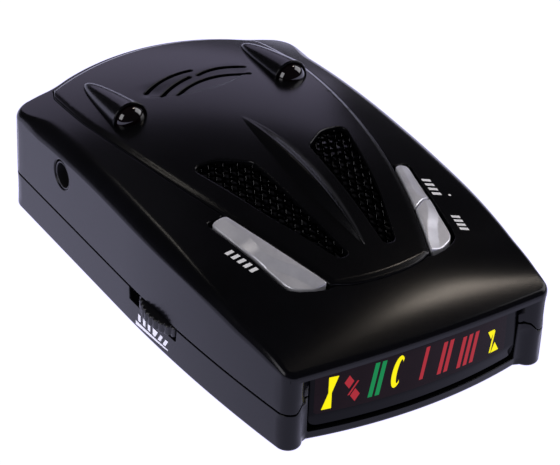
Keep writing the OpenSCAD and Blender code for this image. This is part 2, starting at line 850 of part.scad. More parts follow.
module case_screws() {
    color("#8f9296") at_screws() {
        translate([0, 0, screw_head_z]) difference() {
            cylinder(r = screw_d, h = screw_head_h, $fn = 48);
            translate([-screw_d, -0.35, -1]) cube([2 * screw_d, 0.7, 1.6]);
            translate([-0.35, -screw_d, -1]) cube([0.7, 2 * screw_d, 1.6]);
        }
        translate([0, 0, screw_head_z + 1])
            cylinder(r = screw_d / 2, h = screw_tip_z - screw_head_z - 1, $fn = 48);
    }
}

lower_case();
upper_case();
hood_panel();
display_window();
display_mask();
display_leds();
display_board();
display_header();
quiet_button();
menu_button();
city_button();
quiet_plunger();
menu_plunger();
city_plunger();
quiet_switch();
menu_switch();
city_switch();
volume_wheel();
wheel_shaft();
volume_pot();
power_jack();
jack_contact();
periscope_lens_left();
periscope_lens_right();
periscope_led_left();
periscope_led_right();
grille_left();
grille_right();
speaker_frame();
speaker_cone();
speaker_magnet();
speaker_gasket();
main_board();
horn_antenna();
mixer_board();
shield_can();
laser_lens();
laser_sensor();
chips();
capacitors();
case_screws();
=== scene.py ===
# %% [markdown]
# # A dashboard radar detector
#
# The object is a small moulded case that sits on a dashboard. It has a lower and an upper half,
# a raised hood panel with a spine and two alert periscopes, silver buttons, a bowed display, a
# thumbwheel and a power socket. The engineering model comes in as a fixed frame. This lesson
# puts finished skins over its shells and gives every piece a real material.

import json
import math

import bpy
import numpy as np
from mathutils import Matrix, Vector
from mathutils.geometry import delaunay_2d_cdt

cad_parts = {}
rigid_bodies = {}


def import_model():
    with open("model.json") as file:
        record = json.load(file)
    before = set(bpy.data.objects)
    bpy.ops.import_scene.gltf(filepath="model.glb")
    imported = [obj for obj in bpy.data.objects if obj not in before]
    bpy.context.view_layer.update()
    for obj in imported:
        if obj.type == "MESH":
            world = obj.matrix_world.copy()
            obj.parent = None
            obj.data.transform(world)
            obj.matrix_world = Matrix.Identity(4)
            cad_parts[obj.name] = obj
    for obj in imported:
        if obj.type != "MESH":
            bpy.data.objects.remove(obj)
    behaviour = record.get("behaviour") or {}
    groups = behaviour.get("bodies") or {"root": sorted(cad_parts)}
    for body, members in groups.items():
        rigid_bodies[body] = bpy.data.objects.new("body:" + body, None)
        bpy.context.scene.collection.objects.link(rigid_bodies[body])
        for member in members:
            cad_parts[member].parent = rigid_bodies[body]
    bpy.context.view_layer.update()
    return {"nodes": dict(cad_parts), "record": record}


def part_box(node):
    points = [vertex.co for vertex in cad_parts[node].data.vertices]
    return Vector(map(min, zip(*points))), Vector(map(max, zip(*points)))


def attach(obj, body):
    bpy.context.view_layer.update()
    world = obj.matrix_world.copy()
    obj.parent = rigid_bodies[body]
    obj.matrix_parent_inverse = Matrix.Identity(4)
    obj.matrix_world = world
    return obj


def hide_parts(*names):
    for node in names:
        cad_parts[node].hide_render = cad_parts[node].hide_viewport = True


for leftover in list(bpy.data.objects):
    bpy.data.objects.remove(leftover)
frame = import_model()
print("the frame has", len(frame["nodes"]), "nodes")

# %% [markdown]
# ## Driving sizes
#
# Everything below is worked out in millimetres, which suit an object of this size, and turned to
# metres when a mesh is made. The case's box, the joint between its halves and the places of the
# wheel and socket are read from the frame, so these skins always fit the solid parts.


# %% Sizes from the frame
MM = 0.001


def node_box(name):
    low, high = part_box(name)
    return np.array(low) / MM, np.array(high) / MM


case_low, case_high = node_box("upper_case")
half_w = case_high[0]
front_y = case_low[1]
back_y = case_high[1]
parting_z = case_low[2]
roof_peak = 30.0
print("case", 2 * half_w, "by", back_y - front_y, "parting at", parting_z)

# %% [markdown]
# ## Outlines
#
# The case's outline in plan is arcs that run smoothly into each other: a nearly flat brow over
# the display, a small post radius at each front corner, long tapering sides, and a large arc at
# the road end. Sampling true arcs, instead of bevelling a polygon, keeps reflections unbroken.

# %% Smooth step, arc and outline helpers


def smooth(t):
    """Eases from 0 to 1 as t does, with level ends."""
    t = np.clip(t, 0, 1)
    return t * t * (3 - 2 * t)


def arc(cx, cy, radius, start, end, count):
    """count points from one angle to another, in degrees, without the last one."""
    a = np.radians(start + (end - start) * np.arange(count) / count)
    return np.stack([cx + radius * np.cos(a), cy + radius * np.sin(a)], 1)


def mirrored(points):
    """The same edge on the left side, in reverse order so that it keeps its turning sense."""
    return points[::-1] * [-1, 1]


def line(a, b, count):
    t = np.arange(count)[:, None] / count
    return np.array(a) * (1 - t) + np.array(b) * t


def rounded(corners, radii, spacing=0.5):
    """A closed outline through corners, each turned by an arc of its own radius."""
    corners = np.array(corners, float)
    count = len(corners)
    points = []
    for i in range(count):
        before, here, after = corners[i - 1], corners[i], corners[(i + 1) % count]
        u = (before - here) / np.linalg.norm(before - here)
        v = (after - here) / np.linalg.norm(after - here)
        half = math.acos(np.clip(u @ v, -1, 1)) / 2
        reach = min(radii[i] / math.tan(half), 0.45 * np.linalg.norm(before - here),
                    0.45 * np.linalg.norm(after - here))
        steps = max(2, int(reach / spacing) + 2)
        for t in np.linspace(0, 1, steps):
            points.append(here + u * reach * (1 - t) ** 2 + v * reach * t ** 2)
    return densify(np.array(points), spacing)


def densify(points, spacing):
    """Adds points along each long side of a closed outline."""
    out = []
    for a, b in zip(points, np.roll(points, -1, 0)):
        n = max(1, int(np.linalg.norm(b - a) / spacing))
        out.extend(line(a, b, n))
    return np.array(out)


def left_normals(points):
    """Unit vectors to the left of travel, which is inward for an anticlockwise loop."""
    t = np.roll(points, -1, 0) - np.roll(points, 1, 0)
    t /= np.linalg.norm(t, axis=1)[:, None] + 1e-12
    return np.stack([-t[:, 1], t[:, 0]], 1)


def grown(points, by):
    """A closed anticlockwise outline moved outward."""
    return points - left_normals(points) * by


# %% The case's outline
side_r = 350.0  # the sides taper towards the display along one large arc
side_cx = half_w - side_r
post_r = 2.7
post_y = front_y + 3.6
post_x = side_cx + math.sqrt((side_r - post_r) ** 2 - post_y ** 2)
brow_bow = 0.9  # how far the brow bulges out at its middle
brow_r = (post_x ** 2 + brow_bow ** 2) / (2 * brow_bow)
back_r = 62.0
back_cy = back_y - back_r
corner_r = 4.5
corner_x = half_w - corner_r
corner_y = back_y - 9.85


def rear_edge(x):
    """The rear arc, which eases into nearly straight shoulders beside the hood."""
    ease = smooth((x - 20) / 8)
    shoulder = corner_y + corner_r - 0.02 - 0.09 * (x - corner_x)
    return (1 - ease) * (back_cy + np.sqrt(back_r ** 2 - x ** 2)) + ease * shoulder


post_a = math.degrees(math.asin(post_y / (side_r - post_r)))
brow_a = math.degrees(math.asin(post_x / brow_r))

side_right = np.concatenate([
    arc(post_x, post_y, post_r, -90 + brow_a, post_a, 14),
    arc(side_cx, 0, side_r, post_a, 0, 56),
    line((half_w, 0), (half_w, corner_y), 42),
    arc(corner_x, corner_y, corner_r, 0, 85, 12),
    [[x, float(rear_edge(x))] for x in np.linspace(corner_x + 0.3, 0, 48)[:-1]]])
brow_right = arc(0, front_y + brow_r, brow_r, -90, -90 + brow_a, 32)
case_outline = np.concatenate([
    brow_right, side_right, [[0, back_y]], mirrored(side_right), mirrored(brow_right[1:])])
print("outline points", len(case_outline))

# %% [markdown]
# ## The roof
#
# The roof is a surface with two curvatures: a long arc from end to end and a shallow crown from
# side to side, which flattens out towards the brow. It could be sculpted, but a formula gives the
# same height to the case, the hood and the buttons, so they all lie flush.


# %% Roof height
roof_r = 220.0
roof_peak_y = 15.0
brow_start = front_y + 13.4
brow_fall_r = 60.0
fall_a = math.asin((roof_peak_y - brow_start) / roof_r)
fall_cy = brow_start + brow_fall_r * math.sin(fall_a)
fall_cz = roof_peak - roof_r + (roof_r - brow_fall_r) * math.cos(fall_a)


def roof(x, y):
    """Height of the roof: a long arc, a tighter one at the brow, and a crown across."""
    main = roof_peak - roof_r + np.sqrt(roof_r ** 2 - (y - roof_peak_y) ** 2)
    brow = fall_cz + np.sqrt(np.maximum(brow_fall_r ** 2 - (y - fall_cy) ** 2, 1))
    centre = np.where(y > brow_start, main, brow)
    crown = 1 - 0.42 * smooth((6 - y) / 50) - 0.5 * smooth((-38 - y) / 18)
    return centre - x ** 2 / 252 * crown


print("roof at the brow", float(roof(0, front_y)), "nose", float(roof(28.0, front_y + 1)))

# %% [markdown]
# ## One tool for every moulded skin
#
# A moulded shell is a smooth sheet with openings whose edges are rounded over. A Boolean with a
# bevel gives uneven facets on a curved sheet. Here a flat patch is triangulated between rings
# that follow every edge, each ring is dropped along a quarter round, and the true normal is stored
# at each vertex. The same tool works on the roof and, unrolled, on the side walls.


# %% Edges and places


def inside(points, polygon):
    """Which points lie inside a closed polygon, by counting crossings."""
    x, y = points[:, 0][:, None], points[:, 1][:, None]
    a, b = polygon, np.roll(polygon, -1, 0)
    crosses = (a[:, 1] > y) != (b[:, 1] > y)
    slope = (b[:, 0] - a[:, 0]) / np.where(b[:, 1] == a[:, 1], 1e-9, b[:, 1] - a[:, 1])
    return (crosses & (x < a[:, 0] + slope * (y - a[:, 1]))).sum(1) % 2 == 1


def area(points):
    """Signed area of a closed outline, positive where it runs anticlockwise."""
    a, b = points, np.roll(points, -1, 0)
    return float((a[:, 0] * b[:, 1] - b[:, 0] * a[:, 1]).sum() / 2)


def edge(points, roll=0.0, skirt=0.0, hole=False):
    """One edge of a skin: its loop, its rounding radius, and how far its wall goes on inward."""
    points = np.array(points, float)
    order = slice(None, None, -1) if (area(points) > 0) == hole else slice(None)
    roll = np.broadcast_to(np.asarray(roll, float), len(points))[order]
    skirt = np.broadcast_to(np.asarray(skirt, float), len(points))[order]
    points = points[order]
    return {"points": points, "inward": left_normals(points), "roll": roll, "skirt": skirt,
            "tight": 1 - 0.88 * smooth((roll - 1.8) / 2.0)}


def rolled(e, a):
    """Inset and drop of a rounded edge where its normal has risen by the angle a. A large round
    starts with a tighter turn, so the wall stays flat almost up to it."""
    turn = math.radians(25)
    first = min(a, turn)
    inset = e["tight"] * (1 - math.cos(first)) + (math.cos(first) - math.cos(a))
    drop = e["tight"] * (math.sin(turn) - math.sin(first)) + 1 - math.sin(max(a, turn))
    return e["roll"] * inset, e["roll"] * drop


def on_roof(height):
    """Places plan points on a height function, with its slope as the normal."""
    def place(uv):
        x, y = uv[:, 0], uv[:, 1]
        h = 0.02
        n = np.stack([-(height(x + h, y) - height(x - h, y)) / (2 * h),
                      -(height(x, y + h) - height(x, y - h)) / (2 * h), np.ones(len(x))], 1)
        n /= np.linalg.norm(n, axis=1)[:, None]
        size = len(x)
        return (np.stack([x, y, height(x, y)], 1), n, np.tile([1.0, 0, 0], (size, 1)),
                np.tile([0, 1.0, 0], (size, 1)), np.tile([0, 0, -1.0], (size, 1)))
    return place


def on_wall(path, shape=None):
    """Places points of an unrolled wall: distance along a plan path, and height. shape(s, z)
    moves them outward."""
    steps = np.linalg.norm(np.diff(path, axis=0), axis=1)
    s = np.concatenate([[0], np.cumsum(steps)])
    t = np.gradient(path, s, axis=0)
    t /= np.linalg.norm(t, axis=1)[:, None]

    def place(uv):
        x = np.interp(uv[:, 0], s, path[:, 0])
        y = np.interp(uv[:, 0], s, path[:, 1])
        right = np.stack([np.interp(uv[:, 0], s, t[:, 0]), np.interp(uv[:, 0], s, t[:, 1]),
                          np.zeros(len(uv))], 1)
        right /= np.linalg.norm(right, axis=1)[:, None]
        up = np.tile([0, 0, 1.0], (len(uv), 1))
        out = np.cross(right, up)
        p = np.stack([x, y, uv[:, 1]], 1)
        n = out
        if shape is not None:
            h = 0.05
            p = p + out * shape(uv[:, 0], uv[:, 1])[:, None]
            slope = (shape(uv[:, 0], uv[:, 1] + h) - shape(uv[:, 0], uv[:, 1] - h)) / (2 * h)
            run = (shape(uv[:, 0] + h, uv[:, 1]) - shape(uv[:, 0] - h, uv[:, 1])) / (2 * h)
            n = out - up * slope[:, None] - right * run[:, None]
            n /= np.linalg.norm(n, axis=1)[:, None]
        return p, n, right, up, -out
    return place, s


def build_mesh(name, points, faces, normals=None):
    """A mesh object from points in millimetres, with stored normals where they are known."""
    mesh = bpy.data.meshes.new(name)
    mesh.from_pydata((np.asarray(points) * MM).tolist(), [], [list(map(int, f)) for f in faces])
    mesh.shade_smooth()
    if normals is not None:
        mesh.normals_split_custom_set_from_vertices(np.asarray(normals).tolist())
    obj = bpy.data.objects.new(name, mesh)
    bpy.context.scene.collection.objects.link(obj)
    return obj


def nearest(points, e):
    """The closest point of an edge to each point: its index, and how far away it is."""
    near = np.array([((e["points"] - g) ** 2).sum(1).argmin() for g in points])
    return near, np.linalg.norm(e["points"][near] - points, axis=1)


# %% Flat net of a skin


def flat_net(edges, spacing, rings, guides):
    """The flat points of a skin: rings along every edge, guide rows, and a plain grid. Each has
    a drop, an angle to which its normal has risen, and the direction inward from its edge."""
    net = {"uv": [], "drop": [], "angle": [], "inward": []}
    links, first_ring, base = [], [], 0

    def lay(points, drop=0.0, angle=math.pi / 2, inward=0.0):
        net["uv"].append(points)
        net["drop"].append(np.broadcast_to(drop, len(points)))
        net["angle"].append(np.broadcast_to(angle, len(points)))
        net["inward"].append(np.broadcast_to(inward, (len(points), 2)))

    for e in edges:
        count = len(e["points"])
        steps = [0.0] if not e["roll"].any() else np.radians(
            np.concatenate([[0, 12], np.linspace(25, 90, rings)]))
        first_ring.append(base)
        for a in steps:
            inset, fall = rolled(e, a) if len(steps) > 1 else (np.zeros(count), np.zeros(count))
            lay(e["points"] + e["inward"] * inset[:, None], fall,
                np.where(e["roll"] > 0, a, math.pi / 2), e["inward"])
            links.extend((base + i, base + (i + 1) % count) for i in range(count))
            base += count
    for row in guides:
        for e in edges:
            near, reach = nearest(row, e)
            row = row[(reach > e["roll"][near] + 0.15)
                      & (inside(row, e["points"]) == (e is edges[0]))]
        lay(row)
    taken = np.concatenate(net["uv"])
    low, high = edges[0]["points"].min(0), edges[0]["points"].max(0)
    gx, gy = np.meshgrid(np.arange(low[0], high[0], spacing), np.arange(low[1], high[1], spacing))
    grid = np.stack([gx.ravel(), gy.ravel()], 1)
    if len(grid):
        for e in edges:
            grid = grid[inside(grid, e["points"]) == (e is edges[0])]
        clear = (0.6 * spacing) ** 2
        far = np.array([((taken - g) ** 2).sum(1).min() > clear for g in grid], bool)
        grid = grid[far] if len(grid) else grid
        for e in edges:  # nothing between an edge and its last ring
            if e["roll"].any() and len(grid):
                near, reach = nearest(grid, e)
                grid = grid[reach > e["roll"][near] + 0.3 * spacing]
    lay(grid)
    return {key: np.concatenate(rows) for key, rows in net.items()}, links, first_ring


# %% Skin builder


def skin(outer, holes, place, spacing, rings=5, guides=()):
    """Points, faces and normals of a sheet with rounded edges. guides are rows of extra points
    for creases that the plain grid would miss."""
    edges = [outer, *holes]
    net, links, first_ring = flat_net(edges, spacing, rings, guides)
    verts, _, faces, source, _, _ = delaunay_2d_cdt(
        [Vector(p) for p in net["uv"]], links, [], 0, 1e-6, True)
    flat = np.array([list(v) for v in verts])
    known = np.array([o[0] if len(o) else -1 for o in source])
    drop = np.where(known >= 0, net["drop"][known], 0)
    angle = np.where(known >= 0, net["angle"][known], math.pi / 2)
    inward = np.where((known >= 0)[:, None], net["inward"][known], 0)
    faces = np.array([list(f) for f in faces])
    middle = flat[faces].mean(1)
    keep = inside(middle, outer["points"])
    for e in holes:
        keep &= ~inside(middle, e["points"])
    faces = faces[keep]
    p, n, right, up, depth = place(flat)
    toward = right * inward[:, :1] + up * inward[:, 1:]
    p = p + depth * drop[:, None]
    n = n * np.sin(angle)[:, None] - toward * np.cos(angle)[:, None]
    n /= np.linalg.norm(n, axis=1)[:, None]
    where = {o: i for i, obs in enumerate(source) for o in obs}
    points, normals, faces = [p], [n], faces.tolist()
    size = len(p)
    for e, start in zip(edges, first_ring):  # the walls that go on from the edges
        if not e["skirt"].any():
            continue
        count = len(e["points"])
        top = [where[start + i] for i in range(count)]
        wall_n = -(toward[top] / (np.linalg.norm(toward[top], axis=1)[:, None] + 1e-9))
        points += [p[top], p[top] + depth[top] * e["skirt"][:, None]]
        normals += [wall_n, wall_n]
        for i in range(count):
            j = (i + 1) % count
            faces.append([size + count + i, size + count + j, size + j, size + i])
        size += 2 * count
    points, normals = np.concatenate(points), np.concatenate(normals)
    if (np.cross(right[0], up[0]) @ depth[0]) > 0:  # a sheet seen from below
        faces = [f[::-1] for f in faces]
    return points, faces, normals


def grid_faces(rows, count, closed=True, flip=False):
    """Quads between rows of points; closed also joins each row's last point to its first."""
    faces = []
    for i in range(rows - 1):
        for j in range(count if closed else count - 1):
            k = (j + 1) % count
            quad = [i * count + j, i * count + k, (i + 1) * count + k, (i + 1) * count + j]
            faces.append([quad[0], *quad[:0:-1]] if flip else quad)
    return faces


def joined(name, parts):
    """One mesh object from several point, face and normal sets."""
    points, faces, normals, base = [], [], [], 0
    for p, f, n in parts:
        points.append(p)
        normals.append(n)
        faces.extend([[base + i for i in face] for face in f])
        base += len(p)
    return build_mesh(name, np.concatenate(points), faces, np.concatenate(normals))


def shown(obj, body, *nodes):
    """The piece moves with a body and stands for the plain solids named."""
    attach(obj, body)
    if nodes:
        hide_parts(*nodes)
    return obj

# %% [markdown]
# ## Upper shell
#
# On the real case the sides roll over into the roof with a generous radius that tightens towards
# the display, which gives the long highlight along each shoulder. The roof sheet carries that
# roll. The wall below it could be extruded from the outline, but the same tool works on it once
# it is unrolled, so the power socket's hole and the rear lens opening get the same soft edges.

# %% How far each edge of the roof is rounded over


def roof_roll(points):
    x, y = np.abs(points[:, 0]), points[:, 1]
    side = 1.8 + 2.4 * smooth((y + 48) / 38)
    side = side - (side - 1.5) * smooth((y - 36) / 9)
    return np.where(y < -48, 1.05 + 0.75 * smooth((y + 54) / 6), side)


# %% Hood outline, which the roof's opening follows
hood_tip_y = front_y + 14
hood_wide_y = back_y - 25
hood_back_r = back_r - 1.85


def hood_half(y):
    """Half the hood's width, which is greatest near the road end and narrows to the display."""
    d = hood_wide_y - y
    return np.where(d > 0, 27 - 0.06 * d - 0.00235 * d * d, 27 - 0.003 * d * d)


hood_back_x = float(hood_half(45.4))
hood_back_a = math.degrees(math.acos(hood_back_x / hood_back_r))
hood_side = [[float(hood_half(y)), y] for y in np.linspace(-39.2, 44.6, 64)]
hood_right = np.concatenate([
    [[2.6, hood_tip_y + 0.06], [5.2, hood_tip_y + 0.3], [7.6, hood_tip_y + 0.75],
     [9.3, hood_tip_y + 1.3], [10.5, hood_tip_y + 1.85]], hood_side,
    arc(0, back_cy, hood_back_r, hood_back_a + 1.5, 90, 24)])
hood_outline = densify(np.concatenate([
    [[0, hood_tip_y]], hood_right, [[0, back_cy + hood_back_r]], mirrored(hood_right)]), 0.8)
print("hood", np.round(hood_outline.min(0), 1), np.round(hood_outline.max(0), 1))

# %% Button outlines
button_gap = 0.36
button_rise = 0.7


def along_hood(y):
    return [float(hood_half(y)) + button_gap, y]


button_ring = rounded(
    [along_hood(-39.0), [14.6, -38.7], [18.9, -36.7], [20.9, -26.5], [23.3, -14.4],
     along_hood(-14.9), along_hood(-21), along_hood(-27), along_hood(-33)],
    [0.5, 14, 4.5, 200, 0.9, 0.7, 80, 80, 80], 0.35)
opening_right = np.concatenate([
    [p for p in hood_right if p[1] < -39.4],
    [[12.2, -39.75], [14.8, -39.1], [17.6, -38.0], [19.3, -36.8], [20.1, -34.6], [21.35, -26.6],
     [23.7, -14.9], [23.5, -14.0], [22.6, -13.85], [20.9, -14.0], [20.1, -13.7], [20.0, -13.0]],
    [p for p in hood_right if p[1] > -12.6]])
roof_opening = densify(grown(np.concatenate([
    [[0, hood_tip_y]], opening_right, [[0, back_cy + hood_back_r]], mirrored(opening_right)]),
    0.12), 0.7)
print("button ring", len(button_ring), "opening", len(roof_opening))

# %% Wall path and joint line
cheek_x = 24.35
step_rise = 1.9
post_front = arc(post_x, post_y, post_r, -156, -90 + brow_a, 10)
wall_right = np.concatenate([
    [[cheek_x, post_y + 1.6], [cheek_x, post_y + 0.2], [cheek_x, post_y - 0.75],
     [cheek_x + 0.12, post_y - 1.0], [cheek_x + 0.4, post_y - 1.1]], post_front, side_right])
wall_path = np.concatenate([wall_right, [[0, back_y]], mirrored(wall_right)])


def joint(points):
    """Height of the joint between the halves, which steps up beside the display."""
    x, y = np.abs(points[:, 0]), points[:, 1]
    return parting_z + np.where(y < -50, step_rise * smooth((28.3 - x) / 2.2), 0)


place_wall, wall_s = on_wall(wall_path)


def s_at(x, y):
    return float(wall_s[((wall_path - [x, y]) ** 2).sum(1).argmin()])


# %% Openings in the side and rear walls


def circle(cx, cy, radius, count=64):
    return arc(cx, cy, radius, 0, 360, count)


def box_outline(x0, x1, y0, y1, radius=0.6, spacing=0.5):
    return rounded([[x0, y0], [x1, y0], [x1, y1], [x0, y1]], [radius] * 4, spacing)


jack_low, jack_high = node_box("power_jack")
jack_y = (jack_low[1] + jack_high[1]) / 2
jack_z = 18.8
lens_low, lens_high = node_box("laser_lens")
rear_s = s_at(0, back_y)
jack_hole = edge(circle(s_at(-half_w, jack_y), jack_z, 3.2), 0.4, 1.9, hole=True)
lens_hole = edge(box_outline(rear_s + lens_low[0] - 0.1, rear_s + lens_high[0] + 0.1,
                             lens_low[2] - 0.1, lens_high[2] + 0.1, 0.5), 0.2, 1.5, hole=True)
print("socket at", round(jack_y, 1), round(jack_z, 1))

# %% Build the upper shell
wall_edge = edge(case_outline, roof_roll(case_outline))
wall_drop = rolled(wall_edge, 0)[1]
wall_top = roof(wall_path[:, 0], wall_path[:, 1]) - wall_drop[nearest(wall_path, wall_edge)[0]]
nose = len(post_front) + 5  # the cheek beside the display stays level under the brow
wall_top[:nose] = wall_top[nose]
wall_top[-nose:] = wall_top[-nose - 1]
low_edge = np.stack([wall_s, joint(wall_path) + 0.08], 1)
top_edge = np.stack([wall_s, wall_top], 1)[::-1]
wall_ring = np.concatenate([low_edge, top_edge])
is_low = np.concatenate([np.ones(len(low_edge)), np.zeros(len(top_edge))])
is_low[[0, len(low_edge) - 1]] = 0
brow_skirt = np.where(case_outline[:, 1] < front_y + 2, 0.6, 0.0)  # a lip over the display
upper_parts = [
    skin(edge(case_outline, roof_roll(case_outline), brow_skirt),
         [edge(roof_opening, 0.22, 1.6, hole=True)], on_roof(roof), 1.6, 7),
    skin(edge(wall_ring, 0.18 * is_low, 1.8 * is_low), [jack_hole, lens_hole],
         place_wall, 2.0, 4)]
upper_shell = shown(joined("upper_shell", upper_parts), "root", "upper_case")
print("upper shell", len(upper_shell.data.vertices), "points")

# %% [markdown]
# ## Lower shell
#
# The lower half is a shallow tray. Its wall continues the upper one below a dark joint line, has
# a notch for the thumbwheel and a slot for the windscreen bracket, and dips to a thin lip under
# the display. Cutting these from a solid would need four Booleans. As an unrolled strip, the wall
# takes them all in its outline. The underside is a flat sheet with deep holes for the screws.

# %% Outline of the lower half, with the lip under the display
lip_r = 112.0


def lip_y(x):
    """Front edge of the bowed lip, which the display window follows too."""
    return front_y + lip_r - np.sqrt(lip_r ** 2 - x ** 2)


lip_right = np.array([[x, float(lip_y(x))] for x in np.linspace(0, 24.2, 33)][:-1])
lower_right = np.concatenate([
    [[24.2, float(lip_y(24.2))], [24.3, float(lip_y(24.3))], [24.9, post_y - 1.14]],
    post_front[1:], side_right])
lower_loop = np.concatenate([
    lip_right, lower_right, [[0, back_y]], mirrored(lower_right), mirrored(lip_right[1:])])
start = int(((lower_loop - [half_w, 0]) ** 2).sum(1).argmin())
lower_path = np.concatenate([np.roll(lower_loop, -start, 0), lower_loop[start:start + 1]])
place_lower, lower_s = on_wall(lower_path)
print("lower outline", len(lower_loop), "points")

# %% Top edge of the lower wall
wheel_low, wheel_high = node_box("volume_wheel")
wheel_y = (wheel_low[1] + wheel_high[1]) / 2
slot_middle, slot_half = wheel_y + 1.1, 8.7
slot_floor = wheel_low[2] - 0.3
lip_top = 2.1


def top_of(points):
    """Height of the lower wall's top: at the joint, the lip, or the floor of the wheel's slot."""
    x, y = np.abs(points[:, 0]), points[:, 1]
    top = joint(points) - 0.22
    top = np.where((x < 24.25) & (y < -50), lip_top, top)
    in_slot = (points[:, 0] < 0) & (np.abs(y - slot_middle) < slot_half)
    return np.where(in_slot, slot_floor, top)


fine = np.linspace(0, lower_s[-1], 1400)
fine_xy = np.stack([np.interp(fine, lower_s, lower_path[:, 0]),
                    np.interp(fine, lower_s, lower_path[:, 1])], 1)
top_line = np.stack([fine, top_of(fine_xy)], 1)
bottom_roll = 0.8
floor_line = np.stack([lower_s, np.full(len(lower_s), bottom_roll)], 1)
lower_ring = densify(np.concatenate([floor_line, top_line[::-1]]), 0.4)
on_top = (lower_ring[:, 1] > bottom_roll + 0.01) & (lower_ring[:, 0] > 0.01) & (
    lower_ring[:, 0] < lower_s[-1] - 0.01)

# %% Build the lower shell
bracket_s = float(lower_s[((lower_path - [0, back_y]) ** 2).sum(1).argmin()])
bracket_slot = edge(box_outline(bracket_s - 11, bracket_s + 11, 2.9, 5.5, 0.5), 0.2, 4.0,
                    hole=True)


def from_below(uv):
    """Places plan points on the flat underside, which faces down."""
    size = len(uv)
    return (np.stack([uv[:, 0], uv[:, 1], np.zeros(size)], 1), np.tile([0, 0, -1.0], (size, 1)),
            np.tile([1.0, 0, 0], (size, 1)), np.tile([0, 1.0, 0], (size, 1)),
            np.tile([0, 0, 1.0], (size, 1)))


screw_spots = [(27.5, 38.4), (-27.5, 38.4), (26.5, -40.0), (-26.5, -40.0)]
screw_holes = [edge(circle(x, y, 2.9), 0.25, 5.6, hole=True) for x, y in screw_spots]
lower_parts = [
    skin(edge(lower_ring, 0.18 * on_top, 2.0 * on_top), [bracket_slot], place_lower, 2.0, 4),
    skin(edge(lower_loop, bottom_roll), screw_holes, from_below, 3.0, 5)]
lower_shell = shown(joined("lower_shell", lower_parts), "root", "lower_case")
print("lower shell", len(lower_shell.data.vertices), "points")

# %% [markdown]
# ## Hood panel
#
# The hood is a separate shield-shaped moulding that stands a little above the roof. It has a
# bevelled rim, a shallow dish with a curved front edge, four curved sound slots, and two long
# openings for the speaker mesh. It could be modelled by moving points, but height formulas that
# are added together keep the bevel and the dish smooth, with rows of points along each crease.

# %% Height of the hood
hood_rise = 0.5


def rim_distance(x, y):
    """How far a point of the hood is from its rim."""
    side = hood_half(y) - np.abs(x)
    front = y - (hood_tip_y + 0.011 * x ** 2)
    back = hood_back_r - np.hypot(x, y - back_cy)
    return np.minimum(np.minimum(side, front), back)


def dish_front(x):
    return 25.4 + 0.025 * x ** 2


def hood(x, y):
    bevel = 0.34 * (1 - smooth(rim_distance(x, y) / 1.5))
    dish = 0.3 * smooth((y - dish_front(x)) / 1.3) * (1 - smooth((y - 29.5) / 6.5)) \
        * (1 - smooth((np.abs(x) - 9.5) / 4.5))
    return roof(x, y) + hood_rise - bevel - dish


# %% Openings in the hood
grille_ring = rounded(
    [[6.7, -3], [5.6, -18], [4.0, -34.4], [6.6, -34.5], [12.9, -18.5], [18.3, 1.6], [12.5, 1.4]],
    [2.2, 60, 1.1, 1.6, 90, 1.8, 6], 0.4)
speaker_y = 31.0


def slot_ring(cx, cy, radius, a0, a1, half=0.5):
    """A curved slot with round ends, as an arc about a point measured from the speaker."""
    ends = []
    for a, turn in ((a0, -90), (a1, 90)):
        ex = cx + radius * math.cos(math.radians(a))
        ey = speaker_y + cy + radius * math.sin(math.radians(a))
        first = a + (180 if turn < 0 else 0)
        ends.append(arc(ex, ey, half, first, first + 180, 6))
    outer = arc(cx, speaker_y + cy, radius + half, a0, a1, 26)
    inner = arc(cx, speaker_y + cy, radius - half, a1, a0, 26)
    return np.concatenate([outer, ends[1], inner, ends[0]])


slots = [(0, -14.5, 19, 86, 128), (6.5, -10.5, 13.3, 62, 111), (4, -19, 21.3, 102, 130),
         (4, -17.8, 17.3, 63, 128)]
hood_holes = [edge(grille_ring, 0.35, 1.25, hole=True),
              edge(mirrored(grille_ring), 0.35, 1.25, hole=True)]
hood_holes += [edge(slot_ring(*s), 0.18, 1.8, hole=True) for s in slots]
dish_x = np.linspace(-14, 14, 64)
hood_guides = [grown(hood_outline, -d) for d in (0.6, 0.9, 1.2, 1.5, 1.8)]
hood_guides += [np.stack([dish_x, dish_front(dish_x) + d], 1)
                for d in (-0.2, 0.25, 0.65, 1.05, 1.5)]
hood_parts = [skin(edge(hood_outline, 0.3, 1.2), hood_holes, on_roof(hood), 0.9, 5, hood_guides)]
print("hood sheet", len(hood_parts[0][0]), "points")

# %% [markdown]
# ## Spine and periscopes
#
# The spine is a thin fin, pointed at both ends, whose crest rises out of the hood. It could be
# carved from the hood's sheet, but its crest would then be as coarse as that sheet. Here it is
# lofted: one cross-section, steep on the left and hollow on the right, is swept along the centre
# line with its width and height changed on the way. Each periscope is a half-buried paraboloid,
# turned about a slightly tilted axis, whose open end turns in over a thin rim to a domed lens.

# %% Spine
spine_back, spine_front = 12.3, -33.4


